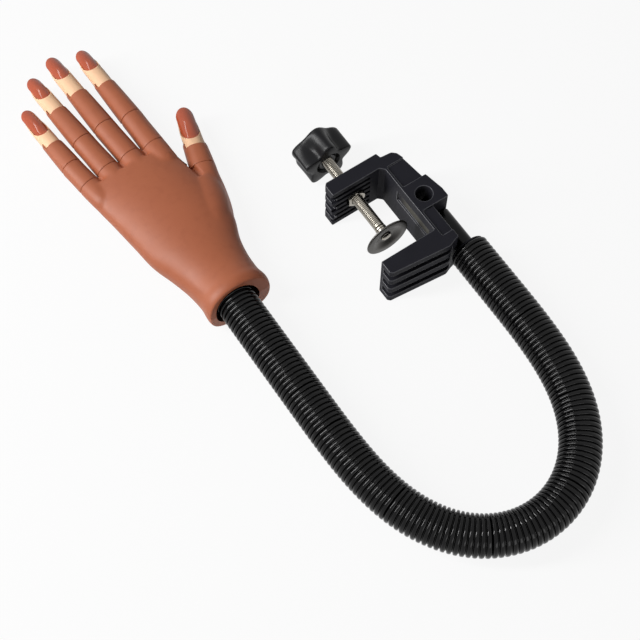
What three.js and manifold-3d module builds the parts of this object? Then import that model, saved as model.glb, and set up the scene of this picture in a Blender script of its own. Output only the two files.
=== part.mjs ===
// Nail practice hand: a jointed hand on a bendable ribbed arm with a table clamp.
// Millimetres, +Z up. The object lies on its side, as it is stored: the clamp screw and both
// legs of the arm run along Y, the clamp's jaws along X. The origin is the middle of the fixed
// jaw's clamping face, on the screw's axis, and +Y points from that face to the knob.
import * as THREE from 'three';
import { mergeVertices } from 'three/addons/utils/BufferGeometryUtils.js';
import Module from 'manifold-3d';

const wasm = await Module();
wasm.setup();

// Clearances
const FIT = 0.3; // between pieces that seat on each other
const RUN = 0.5; // round a piece that turns or slides
const WALL = 1.6; // thinnest moulded wall

// Clamp frame
const CLAMP_WIDTH = 41;
const JAW_OPENING = 59.5;
const THROAT_DEPTH = 43.3; // jaw tip to spine
const SCREW_FROM_TIP = 21.2;
const FIXED_JAW_THICKNESS = 16; // where it is thickest
const FIXED_TIP_THICKNESS = 11.4;
const SCREW_JAW_THICKNESS = 11;
const TIP_CHAMFER = 1.8;
const JAW_SETBACK = 2; // the screw jaw's tip stands back from the fixed jaw's
const SPINE_THICKNESS = 18.3; // between the boss and the screw jaw
const SPINE_STEP = 1.2; // the spine's sides stand back from the jaws and the boss
const FIXED_FIN_GROOVES = 3;
const FIXED_GROOVE_WIDTH = 6;
const FIXED_GROOVE_DEPTH = 5;
const SCREW_JAW_GROOVES = 6;
const SCREW_GROOVE_WIDTH = 3;
const SCREW_GROOVE_DEPTH = 1.8;
const TIP_NOTCHES = 3;
const TIP_NOTCH_WIDTH = 4.5;
const TIP_NOTCH_DEPTH = 3;
const STRIP_LENGTH = 37; // recess along the spine's inner face
const STRIP_WIDTH = 11;
const STRIP_DEPTH = 1.5;
const BOSS_LOW = 16; // the boss's underside
const BOSS_HEIGHT = 22.5;
const CROSS_HOLE_RADIUS = 6;
const CROSS_HOLE_HEIGHT = 10.5; // above the boss's underside

// Screw, nut, pad and knob
const SCREW_RADIUS = 4;
const SCREW_TIP_RADIUS = 2.5;
const SCREW_TIP_LENGTH = 3.4;
const NUT_ACROSS_FLATS = 13;
const NUT_HEIGHT = 6.5;
const NUT_PROUD = 2.2; // stands out of the screw jaw
const PAD_RADIUS = 16.5;
const PAD_GAP = 20.8; // rest distance from the fixed jaw to the pad's rim
const PAD_THICKNESS = 1.4;
const PAD_DISH = 2.1;
const PAD_RIM_WIDTH = 5;
const PAD_HUB_RADIUS = 6;
const RIVET_RADIUS = 2.2;
const RIVET_HEAD_RADIUS = 4;
const RIVET_HEAD_HEIGHT = 1.3;
const COLLAR_RADIUS = 4.2;
const COLLAR_LENGTH = 5.1;
const COLLAR_PLAY = 0.6; // lets the pad tilt on its rivet
const KNOB_UNDERSIDE = 92.5; // from the fixed jaw
const KNOB_HEIGHT = 19.5;
const KNOB_RADIUS = 19.5;
const KNOB_VALLEY = 5.8; // depth between two lobes
const KNOB_LOBES = 5;
const KNOB_TURN = 4; // degrees from +Z to the first lobe
const KNOB_BEVEL = 1.5;
const KNOB_RECESS_RADIUS = 8;
const KNOB_RECESS_DEPTH = 4;
const SCREW_IN_KNOB = 12;

// Arm
const ARM_OFFSET = 39.8; // from the screw's axis to the arm's
const PIN_RADIUS = 4; // the post's pin turns in the boss
const POST_RADIUS = 6.7;
const PIN_GROOVE_DEPTH = 0.8;
const POST_SCREW_RADIUS = 1.9;
const POST_SCREW_HEIGHT = 19.3; // above the boss's underside
const ARM_START = -17.3; // the first rib's place along Y
const LEG_A = 21.7; // straight leg at the clamp
const LEG_B = 91; // straight leg at the hand, with the part inside the wrist
const BEND_LENGTH = 390; // the U turn between the legs
const BENDS = 8;
const HOSE_RADIUS = 14.6; // to the corners of its eight sides
const RIB_DEPTH = 1.3;
const HOSE_BORE = 11.9;
const RIBS_PER_SLEEVE = 18;
const BORE_STEPS = 4;
const HOSE_SIDES = 8;
const LINK_BAR_RADIUS = 2.8;
const LINK_BALL_RADIUS = 6.3;
const LINK_SOCKET_RADIUS = 7.2;
const LINK_CUP_RADIUS = 9.2;
const LINK_CUP_OPENING = 30; // degrees from the ball's middle to the cup's rim
const LINK_CUP_SHOULDER = 12; // where the bar starts to widen, behind the ball's centre
const COLLAR_FLANGE_RADIUS = 12.6;
const COLLAR_FLANGE = 2;
const COLLAR_SPIGOT = 12;

// Wrist
const WRIST_POST_RADIUS = 5;
const WRIST_BUSH_RADIUS = 9;
const WRIST_BUSH_LENGTH = 16;
const WRIST_CLIP_RADIUS = 7.5;
const WRIST_CLIP_THICKNESS = 1.6;
const WRIST_CLIP_CAVITY = 5;
const WRIST_MOUTH_RADIUS = 15.4;

// Hand: places are where the hand's axis, the second leg of the arm, has X = 0
const STUB_END = 35; // Y of the wrist stub's end face
// Palm sections: Y, middle X, half width, height over and under the axis
const PALM_SECTIONS = [
  [STUB_END, 2, 19.8, 15.6, 16.6],
  [STUB_END + 1.2, 2, 21.8, 17.8, 18.8],
  [STUB_END + 4.5, 2, 23.2, 19.4, 20.7],
  [49, 2, 23.2, 18.6, 20.7],
  [60, 1.4, 24, 16.4, 18.8],
  [76, 0.6, 27.4, 15, 18],
  [92, 0.8, 32.9, 14.6, 18],
  [112, 0.2, 35.1, 14.4, 17.6],
  [135, -3, 35.1, 13.4, 15.8],
  [153, -6.4, 34.6, 11.6, 12.5],
  [165, -8.3, 34.1, 9.6, 9.4],
];
const PALM_SQUARENESS = 2.7;
const PALM_SIDES = 20;
// Ball of the thumb: Y, middle X, middle Z, half width, half height
const THENAR_SECTIONS = [
  [84, 20, -5, 9, 9],
  [100, 25.2, -6, 12, 11.5],
  [118, 30.2, -5.6, 12.4, 11],
  [137, 36, -4.2, 9.9, 9],
];

// Fingers and their joints
const FINGER_SIDES = 12;
const SEAM = 3.2; // a joint's seam lies this far ahead of its hinge
const BALL_RADIUS = 4.6;
const BALL_SOCKET_RADIUS = 5.2;
const PEG_RADIUS = 2;
const PEG_LENGTH = 6.5;
const PLUG_RADIUS = 3.8;
const PLUG_LENGTH = 8;
const TONGUE_LENGTH = 4; // the sleeve reaches further under the fingertip
const TONGUE_LEVEL = -1.5;
const NAIL_THICKNESS = 1;
const NAIL_TAIL = 3; // hidden in the fingertip's slot
const NAIL_TAIL_HALF_WIDTH = 2.8;
const NAIL_HEIGHT = 0.92; // the nail's crown over the finger's axis, to its half width
const NAIL_SINK = 0.9; // the nail's root lies this far under the skin
const KNUCKLE_TURN = 55; // degrees that a finger bends at its base
const MIDDLE_TURN = 60; // degrees that it bends at its middle joint
const THUMB_TURN = 30;
const DISTAL_DROOP = -3; // degrees, the middle joint's set at rest

// Each finger: base hinge (X from the hand's axis, Y, Z), its yaw and pitch and the middle
// joint's own yaw in degrees, lengths from the base hinge to the middle one, to the fingertip's
// joint, to the nail's root and to the nail's end, and half widths at the base, the middle joint,
// the fingertip's joint and the nail
const FINGERS = {
  index: {
    base: [17.6, 168.8, 0.6], yaw: 1, pitch: -1.5, set: 0,
    reach: [30, 68, 84.3, 106.5], half: [9, 8.5, 7.2, 5.4],
  },
  middle: {
    base: [-0.4, 170.3, 0.8], yaw: 4.2, pitch: -1.5, set: -2.2,
    reach: [32, 70.8, 87.8, 112], half: [9, 8.6, 7.3, 5.5],
  },
  ring: {
    base: [-18.5, 169.6, 0.6], yaw: 5.2, pitch: -1.5, set: -1.6,
    reach: [31, 66.9, 81.3, 104.3], half: [9, 8.4, 7.1, 5.4],
  },
  pinky: {
    base: [-35.2, 166.3, 0], yaw: 7.6, pitch: -1.5, set: -3.2,
    reach: [21, 47, 58.3, 85.8], half: [8.3, 7.9, 6.8, 5.2],
  },
};
const THUMB = {
  base: [37, 137.5, -4.2], yaw: -15.4, pitch: -1.5, reach: [20, 26.4, 55], half: [9.6, 8.4, 6.4],
};
const FLATNESS = 0.94; // a finger's height to its width

const rad = THREE.MathUtils.degToRad;

// Derived places
const SPINE_INNER = THROAT_DEPTH - SCREW_FROM_TIP;
const SPINE_OUTER = SPINE_INNER + SPINE_THICKNESS;
const BASE_OUTER = ARM_OFFSET - POST_RADIUS - FIT;
const BOSS_TOP = BOSS_LOW + BOSS_HEIGHT;
const PIN_BORE = PIN_RADIUS + FIT;
const BOSS_OUTER = ARM_OFFSET + PIN_BORE + WALL;
const HALF_WIDTH = CLAMP_WIDTH / 2;
const ARM_LENGTH = LEG_A + BEND_LENGTH + LEG_B;
const SLEEVE_LENGTH = ARM_LENGTH / BENDS;

// Colours and finishes
const black = () => new THREE.MeshStandardMaterial({ color: 0x17171a, roughness: 0.55, metalness: 0 });
const glossBlack = () => new THREE.MeshStandardMaterial({ color: 0x101013, roughness: 0.3, metalness: 0 });
const steel = () => new THREE.MeshStandardMaterial({ color: 0xc9c6be, roughness: 0.25, metalness: 1 });
const skin = () => new THREE.MeshStandardMaterial({ color: 0xa9694f, roughness: 0.55, metalness: 0 });
const cream = () => new THREE.MeshStandardMaterial({ color: 0xf6cfa2, roughness: 0.5, metalness: 0 });
const lacquer = () => new THREE.MeshStandardMaterial({ color: 0xa3523a, roughness: 0.12, metalness: 0 });

// A closed solid from any closed geometry: shared corners merged, faces pointing out
function solid(geometry, matrix = new THREE.Matrix4()) {
  const bare = new THREE.BufferGeometry();
  bare.setAttribute('position', geometry.getAttribute('position').clone());
  if (geometry.index) bare.setIndex(geometry.index.clone());
  const merged = mergeVertices(bare.applyMatrix4(matrix), 1e-4);
  const points = merged.getAttribute('position').array;
  const index = merged.index.array;
  const corners = [];
  const [a, b, c] = [new THREE.Vector3(), new THREE.Vector3(), new THREE.Vector3()];
  let volume = 0;
  for (let i = 0; i < index.length; i += 3) {
    const [p, q, r] = [index[i], index[i + 1], index[i + 2]];
    if (p === q || q === r || r === p) continue;
    corners.push([p, q, r]);
    a.fromArray(points, 3 * p);
    b.fromArray(points, 3 * q);
    c.fromArray(points, 3 * r);
    volume += a.dot(b.cross(c));
  }
  const turned = volume < 0 ? corners.map(([p, q, r]) => [p, r, q]) : corners;
  return new wasm.Manifold(new wasm.Mesh({
    numProp: 3,
    vertProperties: new Float32Array(points),
    triVerts: new Uint32Array(turned.flat()),
  }));
}

function mesh(name, body, material) {
  const { vertProperties, triVerts } = body.getMesh();
  const geometry = new THREE.BufferGeometry();
  geometry.setAttribute('position', new THREE.Float32BufferAttribute(vertProperties, 3));
  geometry.setIndex([...triVerts]);
  geometry.computeVertexNormals();
  const made = new THREE.Mesh(geometry, material);
  made.name = name;
  return made;
}

// A skin over rings of points, closed by a middle point at each end. A ring of one point is a tip.
function skinOver(rings) {
  const points = [];
  const starts = [];
  const index = [];
  const middle = (ring) => {
    const sum = new THREE.Vector3();
    for (const point of ring) sum.add(point);
    return sum.divideScalar(ring.length);
  };
  const all = [[middle(rings[0])], ...rings, [middle(rings.at(-1))]];
  for (const ring of all) {
    starts.push(points.length);
    points.push(...ring);
  }
  for (let i = 0; i + 1 < all.length; i += 1) {
    const [low, high] = [all[i], all[i + 1]];
    const sides = Math.max(low.length, high.length);
    for (let k = 0; k < sides; k += 1) {
      const next = (k + 1) % sides;
      const a = starts[i] + (low.length > 1 ? k : 0);
      const b = starts[i] + (low.length > 1 ? next : 0);
      const c = starts[i + 1] + (high.length > 1 ? next : 0);
      const d = starts[i + 1] + (high.length > 1 ? k : 0);
      if (a !== b) index.push(a, b, c);
      if (c !== d) index.push(a, c, d);
    }
  }
  const geometry = new THREE.BufferGeometry().setFromPoints(points);
  geometry.setIndex(index);
  return geometry;
}

// An oval ring across Y. Squareness 2 is an ellipse, more is squarer.
function ovalRing({ x = 0, y, z = 0, wide, over, under = over, sides = FINGER_SIDES, squareness = 2.2 }) {
  const bulge = (value) => Math.sign(value) * Math.abs(value) ** (2 / squareness);
  return Array.from({ length: sides }, (_, k) => {
    const angle = (2 * Math.PI * (k + 0.5)) / sides;
    const height = Math.sin(angle) > 0 ? over : under;
    return new THREE.Vector3(x + wide * bulge(Math.cos(angle)), y, z + height * bulge(Math.sin(angle)));
  });
}

// Round solids about the Y axis at (x, z), from points [radius, y]
function turned(profile, sides = 12, x = 0, z = 0) {
  const geometry = new THREE.LatheGeometry(profile.map(([r, y]) => new THREE.Vector2(r, y)), sides);
  geometry.rotateY(Math.PI / sides);
  geometry.translate(x, 0, z);
  return geometry;
}

function rod(radius, from, to, sides = 12, x = 0, z = 0) {
  return turned([[0, from], [radius, from], [radius, to], [0, to]], sides, x, z);
}

// A prism whose outline is drawn in (X, Y) and which stands between two levels of Z
function standing(outline, low, high) {
  const shape = new THREE.Shape(outline.map(([x, y]) => new THREE.Vector2(x, y)));
  const geometry = new THREE.ExtrudeGeometry(shape, { depth: high - low, bevelEnabled: false });
  geometry.translate(0, 0, low);
  return geometry;
}

// A prism whose outline is drawn in (Y, Z) and which reaches the same way along -X and +X
function across(outline, half) {
  const shape = new THREE.Shape(outline.map(([y, z]) => new THREE.Vector2(y, z)));
  const geometry = new THREE.ExtrudeGeometry(shape, { depth: 2 * half, bevelEnabled: false });
  geometry.translate(0, 0, -half);
  geometry.rotateY(Math.PI / 2);
  geometry.rotateX(Math.PI / 2);
  return geometry;
}

// A prism whose outline is drawn in (X, Z) and which runs from one Y to another
function along(outline, from, to) {
  const shape = new THREE.Shape(outline.map(([x, z]) => new THREE.Vector2(x, -z)));
  const geometry = new THREE.ExtrudeGeometry(shape, { depth: to - from, bevelEnabled: false });
  geometry.rotateX(-Math.PI / 2);
  geometry.translate(0, from, 0);
  return geometry;
}

const BOX_SIGNS = [[-1, -1], [1, -1], [1, 1], [-1, 1]];

function block([x0, x1], [y0, y1], [z0, z1]) {
  const outline = BOX_SIGNS.map(([i, j]) => [i < 0 ? x0 : x1, j < 0 ? y0 : y1]);
  return standing(outline, z0, z1);
}

// Clamp frame: two jaws on a spine, with a boss that holds the arm's post
function clampFrame() {
  const tip = -SCREW_FROM_TIP;
  const outer = -FIXED_JAW_THICKNESS;
  const top = JAW_OPENING + SCREW_JAW_THICKNESS;
  const screwTip = tip + JAW_SETBACK;
  const crown = SPINE_INNER + SPINE_THICKNESS / 2;
  const outline = [
    [tip, 0], [tip, TIP_CHAMFER - FIXED_TIP_THICKNESS], [tip + TIP_CHAMFER, -FIXED_TIP_THICKNESS],
    [SPINE_INNER + 1.8, outer], [SPINE_INNER + 7, outer + 2], [BASE_OUTER, outer + 3],
    [BASE_OUTER, BOSS_LOW], [BOSS_OUTER, BOSS_LOW], [BOSS_OUTER, BOSS_LOW + BOSS_HEIGHT / 3],
    [BOSS_OUTER - 3, BOSS_TOP], [SPINE_OUTER, BOSS_TOP],
    [SPINE_OUTER - 2.8, JAW_OPENING - 1], [SPINE_OUTER - 4.2, JAW_OPENING + 3.5],
    [crown + 2, JAW_OPENING + 6.2], [SPINE_INNER + 2.8, JAW_OPENING + 7], [SPINE_INNER + 1.9, top],
    [screwTip + TIP_CHAMFER, top], [screwTip, top - TIP_CHAMFER], [screwTip, JAW_OPENING],
    [SPINE_INNER - 3, JAW_OPENING], [SPINE_INNER, JAW_OPENING - 3], [SPINE_INNER, 0],
  ];
  let frame = solid(standing(outline, -HALF_WIDTH, HALF_WIDTH));

  // Sides of the spine, set back between the jaws and the boss
  const inset = SPINE_INNER + 2;
  for (const side of [-1, 1]) {
    const ends = [side * (HALF_WIDTH - SPINE_STEP), side * (HALF_WIDTH + 1)];
    const levels = [Math.min(...ends), Math.max(...ends)];
    frame = frame.subtract(solid(block([inset, BASE_OUTER + 1], [-6.5, BOSS_LOW], levels)));
    frame = frame.subtract(solid(block([inset, SPINE_OUTER + 1], [BOSS_TOP, JAW_OPENING - 2], levels)));
  }

  // Deep grooves round the fixed jaw's tip and outer face leave fins
  const floor = FIXED_GROOVE_DEPTH - FIXED_TIP_THICKNESS;
  const grooveOutline = [
    [tip - 1, -3], [tip + FIXED_GROOVE_DEPTH, -3], [tip + FIXED_GROOVE_DEPTH, floor],
    [BASE_OUTER - 6, floor - 3], [BASE_OUTER - 6, outer - 1], [tip - 1, outer - 1],
  ];
  const finPitch = (CLAMP_WIDTH + FIXED_GROOVE_WIDTH) / (FIXED_FIN_GROOVES + 1);
  for (let i = 1; i <= FIXED_FIN_GROOVES; i += 1) {
    const middle = -HALF_WIDTH - FIXED_GROOVE_WIDTH / 2 + i * finPitch;
    const [low, high] = [middle - FIXED_GROOVE_WIDTH / 2, middle + FIXED_GROOVE_WIDTH / 2];
    frame = frame.subtract(solid(standing(grooveOutline, low, high)));
  }

  // Shallow grooves on the screw jaw's inner face, and notches round its tip
  const ridgePitch = CLAMP_WIDTH / (SCREW_JAW_GROOVES + 1);
  for (let i = 1; i <= SCREW_JAW_GROOVES; i += 1) {
    const middle = -HALF_WIDTH + i * ridgePitch;
    const levels = [middle - SCREW_GROOVE_WIDTH / 2, middle + SCREW_GROOVE_WIDTH / 2];
    const depths = [JAW_OPENING - 1, JAW_OPENING + SCREW_GROOVE_DEPTH];
    frame = frame.subtract(solid(block([screwTip - 1, SPINE_INNER - 10], depths, levels)));
  }
  const notchPitch = CLAMP_WIDTH / (TIP_NOTCHES + 1);
  for (let i = 1; i <= TIP_NOTCHES; i += 1) {
    const middle = -HALF_WIDTH + i * notchPitch;
    const levels = [middle - TIP_NOTCH_WIDTH / 2, middle + TIP_NOTCH_WIDTH / 2];
    const reach = [screwTip - 1, screwTip + TIP_NOTCH_DEPTH];
    frame = frame.subtract(solid(block(reach, [JAW_OPENING - 1, top + 1], levels)));
  }

  // Screw hole, nut pocket, recessed strip, cross hole, the post's bore and its screw's hole
  const pocketFloor = JAW_OPENING + NUT_HEIGHT - NUT_PROUD + FIT;
  const nutPocket = nutPrism(NUT_ACROSS_FLATS + 2 * FIT, JAW_OPENING - 1, pocketFloor);
  const stripFrom = (BOSS_LOW + BOSS_TOP - STRIP_LENGTH) / 2 - 4;
  const strip = block([SPINE_INNER - 1, SPINE_INNER + STRIP_DEPTH], [stripFrom, stripFrom + STRIP_LENGTH],
    [0.5, 0.5 + STRIP_WIDTH]);
  const crossHole = new THREE.CylinderGeometry(CROSS_HOLE_RADIUS, CROSS_HOLE_RADIUS, 2 * CLAMP_WIDTH, 16);
  crossHole.rotateX(Math.PI / 2).translate(BASE_OUTER, BOSS_LOW + CROSS_HOLE_HEIGHT, 0);
  const holeRadius = POST_SCREW_RADIUS + FIT;
  const screwHole = new THREE.CylinderGeometry(holeRadius, holeRadius, CLAMP_WIDTH, 8);
  screwHole.rotateX(Math.PI / 2).translate(ARM_OFFSET, BOSS_LOW + POST_SCREW_HEIGHT, -CLAMP_WIDTH / 2);
  return frame
    .subtract(solid(rod(SCREW_RADIUS + RUN, JAW_OPENING - 2, top + 1)))
    .subtract(solid(nutPocket))
    .subtract(solid(strip))
    .subtract(solid(crossHole))
    .subtract(solid(screwHole))
    .subtract(solid(rod(PIN_BORE, BOSS_LOW - 1, BOSS_TOP + 1, 12, ARM_OFFSET)));
}

function nutPrism(acrossFlats, from, to) {
  const radius = acrossFlats / 2 / Math.cos(Math.PI / 6);
  return turned([[0, from], [radius, from], [radius, to], [0, to]], 6);
}

function jawNut() {
  const from = JAW_OPENING - NUT_PROUD;
  return solid(nutPrism(NUT_ACROSS_FLATS, from, from + NUT_HEIGHT))
    .subtract(solid(rod(SCREW_RADIUS + RUN, from - 1, from + NUT_HEIGHT + 1)));
}

// Pad: a dished steel disc that tilts on the collar's rivet
const PAD_FACE_HUB = PAD_GAP + PAD_DISH;
const PAD_BACK = PAD_FACE_HUB + PAD_THICKNESS;
const COLLAR_FROM = PAD_BACK + COLLAR_PLAY;
const COLLAR_TO = COLLAR_FROM + COLLAR_LENGTH;

function padDisc() {
  const rimInner = PAD_RADIUS - PAD_RIM_WIDTH;
  const bore = RIVET_RADIUS + 0.4;
  const back = PAD_GAP + PAD_THICKNESS;
  return solid(turned([
    [bore, PAD_FACE_HUB], [PAD_HUB_RADIUS, PAD_FACE_HUB], [rimInner, PAD_GAP], [PAD_RADIUS, PAD_GAP],
    [PAD_RADIUS, back], [rimInner + 0.4, back], [PAD_HUB_RADIUS + 0.4, PAD_BACK], [bore, PAD_BACK],
    [bore, PAD_FACE_HUB],
  ], 16));
}

function padCollar() {
  const headTo = PAD_FACE_HUB - FIT;
  const boreFrom = COLLAR_TO - SCREW_TIP_LENGTH - FIT;
  const bore = SCREW_TIP_RADIUS + 0.4;
  return solid(turned([
    [0, headTo - RIVET_HEAD_HEIGHT], [RIVET_HEAD_RADIUS - 0.8, headTo - RIVET_HEAD_HEIGHT],
    [RIVET_HEAD_RADIUS, headTo - RIVET_HEAD_HEIGHT / 2], [RIVET_HEAD_RADIUS, headTo],
    [RIVET_RADIUS, headTo], [RIVET_RADIUS, COLLAR_FROM], [COLLAR_RADIUS, COLLAR_FROM],
    [COLLAR_RADIUS, COLLAR_TO], [bore, COLLAR_TO], [bore, boreFrom], [0, boreFrom],
  ]));
}

function clampScrew() {
  const shoulder = COLLAR_TO + FIT;
  const end = KNOB_UNDERSIDE + SCREW_IN_KNOB;
  return solid(turned([
    [0, COLLAR_TO - SCREW_TIP_LENGTH], [SCREW_TIP_RADIUS, COLLAR_TO - SCREW_TIP_LENGTH],
    [SCREW_TIP_RADIUS, shoulder], [SCREW_RADIUS - 0.4, shoulder], [SCREW_RADIUS, shoulder + 0.6],
    [SCREW_RADIUS, end], [0, end],
  ]));
}

// Knob: a star of rounded lobes
function knob() {
  const steps = 6 * KNOB_LOBES;
  const outline = Array.from({ length: steps }, (_, i) => {
    const angle = (2 * Math.PI * i) / steps;
    const lobe = (1 + Math.cos(KNOB_LOBES * angle)) / 2;
    const radius = KNOB_RADIUS - KNOB_BEVEL - KNOB_VALLEY * (1 - lobe) ** 0.85;
    const direction = angle + rad(KNOB_TURN);
    return new THREE.Vector2(radius * Math.sin(direction), radius * Math.cos(direction));
  });
  const star = new THREE.ExtrudeGeometry(new THREE.Shape(outline), {
    depth: KNOB_HEIGHT - 2 * KNOB_BEVEL, curveSegments: 1,
    bevelEnabled: true, bevelThickness: KNOB_BEVEL, bevelSize: KNOB_BEVEL, bevelSegments: 1,
  });
  star.rotateX(-Math.PI / 2).translate(0, KNOB_UNDERSIDE + KNOB_BEVEL, 0);
  return solid(star)
    .subtract(solid(rod(KNOB_RECESS_RADIUS, KNOB_UNDERSIDE - 1, KNOB_UNDERSIDE + KNOB_RECESS_DEPTH)))
    .subtract(solid(rod(SCREW_RADIUS + FIT, KNOB_UNDERSIDE - 1, KNOB_UNDERSIDE + SCREW_IN_KNOB + FIT)));
}

// Route of the arm: a straight leg, a U turn whose curvature rises and falls as a cosine wave,
// and a straight leg back. heading is 0 along -Y and turns towards -X.
const ROUTE_STEP = 0.5;

function headingAt(s) {
  const half = BEND_LENGTH / 2;
  const u = THREE.MathUtils.clamp((s - LEG_A - half) / half, -1, 1);
  return (Math.PI / 2) * (1 + u + Math.sin(Math.PI * u) / Math.PI);
}

const routePoints = (() => {
  const points = [new THREE.Vector3(ARM_OFFSET, ARM_START, 0)];
  for (let s = 0; s < ARM_LENGTH + SLEEVE_LENGTH; s += ROUTE_STEP) {
    const heading = headingAt(s + ROUTE_STEP / 2);
    const step = new THREE.Vector3(-Math.sin(heading), -Math.cos(heading), 0);
    points.push(points.at(-1).clone().addScaledVector(step, ROUTE_STEP));
  }
  return points;
})();

function routeAt(s) {
  if (s <= 0) return new THREE.Vector3(ARM_OFFSET, ARM_START - s, 0);
  const step = Math.floor(s / ROUTE_STEP);
  return routePoints[step].clone().lerp(routePoints[step + 1], s / ROUTE_STEP - step);
}

const HAND_AXIS = routeAt(ARM_LENGTH).x;
const hingeAt = (i) => (i - 0.5) * SLEEVE_LENGTH;

// A ring round the arm's line at s. Near a hinge the line is straight, so that a ball turns freely.
function armRing(s, radius, hinge = null, sides = HOSE_SIDES) {
  const heading = headingAt(hinge ?? s);
  const along = new THREE.Vector3(-Math.sin(heading), -Math.cos(heading), 0);
  const outward = new THREE.Vector3(Math.cos(heading), -Math.sin(heading), 0);
  const centre = hinge === null ? routeAt(s) : routeAt(hinge).addScaledVector(along, s - hinge);
  if (radius === 0) return [centre];
  return Array.from({ length: sides }, (_, k) => {
    const angle = (2 * Math.PI * (k + 0.5)) / sides;
    return centre.clone()
      .addScaledVector(outward, radius * Math.cos(angle))
      .addScaledVector(new THREE.Vector3(0, 0, 1), radius * Math.sin(angle));
  });
}

// Ribbed sleeve: one length of the hose, with its bore, centred on one bend
function sleeve(i) {
  const from = (i - 1) * SLEEVE_LENGTH + FIT / 2;
  const length = SLEEVE_LENGTH - FIT;
  const steps = 2 * RIBS_PER_SLEEVE;
  const rings = [];
  for (let k = 0; k <= steps; k += 1) {
    rings.push(armRing(from + (length * k) / steps, HOSE_RADIUS - (k % 2 ? 0 : RIB_DEPTH)));
  }
  for (let k = BORE_STEPS; k >= 0; k -= 1) {
    rings.push(armRing(from + (length * k) / BORE_STEPS, HOSE_BORE));
  }
  return solid(tubeOver(rings));
}

// A skin over rings that closes on itself, for a piece with a hole all through
function tubeOver(rings) {
  const sides = rings[0].length;
  const index = [];
  for (let i = 0; i < rings.length; i += 1) {
    const [low, high] = [i * sides, ((i + 1) % rings.length) * sides];
    for (let k = 0; k < sides; k += 1) {
      const next = (k + 1) % sides;
      index.push(low + k, low + next, high + next, low + k, high + next, high + k);
    }
  }
  const geometry = new THREE.BufferGeometry().setFromPoints(rings.flat());
  geometry.setIndex(index);
  return geometry;
}

// Core of the arm: a chain of ball links. A link's ball sits in the socket of the one before.
function arcRings(hinge, radius, degrees) {
  return degrees.map((turn) => {
    const across = Math.abs(turn) === 90 ? 0 : radius * Math.cos(rad(turn));
    return armRing(hinge + radius * Math.sin(rad(turn)), across, hinge);
  });
}

function ballRings(hinge) {
  const neck = Math.sqrt(LINK_BALL_RADIUS ** 2 - LINK_BAR_RADIUS ** 2);
  return [
    ...arcRings(hinge, LINK_BALL_RADIUS, [-90, -60, -30, 0, 30]),
    armRing(hinge + neck, LINK_BAR_RADIUS, hinge),
  ];
}

function cupRings(hinge, bar) {
  const rim = LINK_SOCKET_RADIUS * Math.sin(rad(LINK_CUP_OPENING));
  return [
    armRing(hinge - LINK_CUP_SHOULDER, bar, hinge),
    armRing(hinge - LINK_SOCKET_RADIUS, LINK_CUP_RADIUS - 1, hinge),
    armRing(hinge - LINK_SOCKET_RADIUS / 2, LINK_CUP_RADIUS, hinge),
    armRing(hinge + rim, LINK_CUP_RADIUS, hinge),
    ...arcRings(hinge, LINK_SOCKET_RADIUS, [LINK_CUP_OPENING, 0, -30, -60, -90]),
  ];
}

function coreLink(i) {
  const [ball, cup] = [hingeAt(i), hingeAt(i + 1)];
  const from = ball + LINK_BALL_RADIUS + 4;
  const to = cup - LINK_CUP_SHOULDER - 4;
  const steps = 4;
  const places = Array.from({ length: steps + 1 }, (_, k) => from + ((to - from) * k) / steps);
  const bar = places.map((s) => armRing(s, LINK_BAR_RADIUS));
  return solid(skinOver([...ballRings(ball), ...bar, ...cupRings(cup, LINK_BAR_RADIUS)]));
}

// Post: its pin turns in the clamp's boss, and its far end is the first socket of the core
const postS = (y) => ARM_START - y;

function armPost() {
  const groove = postS(BOSS_LOW + POST_SCREW_HEIGHT);
  const grooveHalf = POST_SCREW_RADIUS + FIT;
  const thin = PIN_RADIUS - PIN_GROOVE_DEPTH;
  const shoulder = postS(BOSS_LOW - FIT);
  const first = hingeAt(1);
  const profile = [
    [postS(BOSS_TOP), PIN_RADIUS], [groove - grooveHalf, PIN_RADIUS], [groove - grooveHalf, thin],
    [groove + grooveHalf, thin], [groove + grooveHalf, PIN_RADIUS], [shoulder, PIN_RADIUS],
    [shoulder, POST_RADIUS], [COLLAR_SPIGOT + 2, POST_RADIUS], [COLLAR_SPIGOT + 3, LINK_BAR_RADIUS + 1],
  ];
  const rings = profile.map(([s, r]) => armRing(s, r, 0));
  return solid(skinOver([...rings, ...cupRings(first, LINK_BAR_RADIUS + 1)]));
}

// Screw from the boss's underside whose tip runs in the pin's groove
function postScrew() {
  const tip = -(PIN_RADIUS - PIN_GROOVE_DEPTH) - FIT;
  const head = 1 - HALF_WIDTH;
  const screw = new THREE.CylinderGeometry(POST_SCREW_RADIUS, POST_SCREW_RADIUS, tip - head, 8);
  screw.rotateX(Math.PI / 2).translate(ARM_OFFSET, BOSS_LOW + POST_SCREW_HEIGHT, (tip + head) / 2);
  return solid(screw);
}

// Collars that fill the hose's two ends: the base one has a flange outside the hose
function collarRings(from, to, flange, bore) {
  const spigot = HOSE_BORE - FIT;
  if (!flange) return [[from, spigot], [to, spigot], [to, bore], [from, bore]];
  const rim = COLLAR_FLANGE_RADIUS;
  return [
    [from - flange, rim], [from - FIT, rim], [from - FIT, spigot],
    [to, spigot], [to, bore], [from - flange, bore],
  ];
}

function armCollar() {
  const rings = collarRings(0, COLLAR_SPIGOT, COLLAR_FLANGE, POST_RADIUS + FIT);
  return solid(tubeOver(rings.map(([s, r]) => armRing(s, r, 0))));
}

function wristCollar() {
  const rings = collarRings(ARM_LENGTH - COLLAR_SPIGOT, ARM_LENGTH, 0, WRIST_POST_RADIUS + FIT);
  return solid(tubeOver(rings.map(([s, r]) => armRing(s, r))));
}

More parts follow.
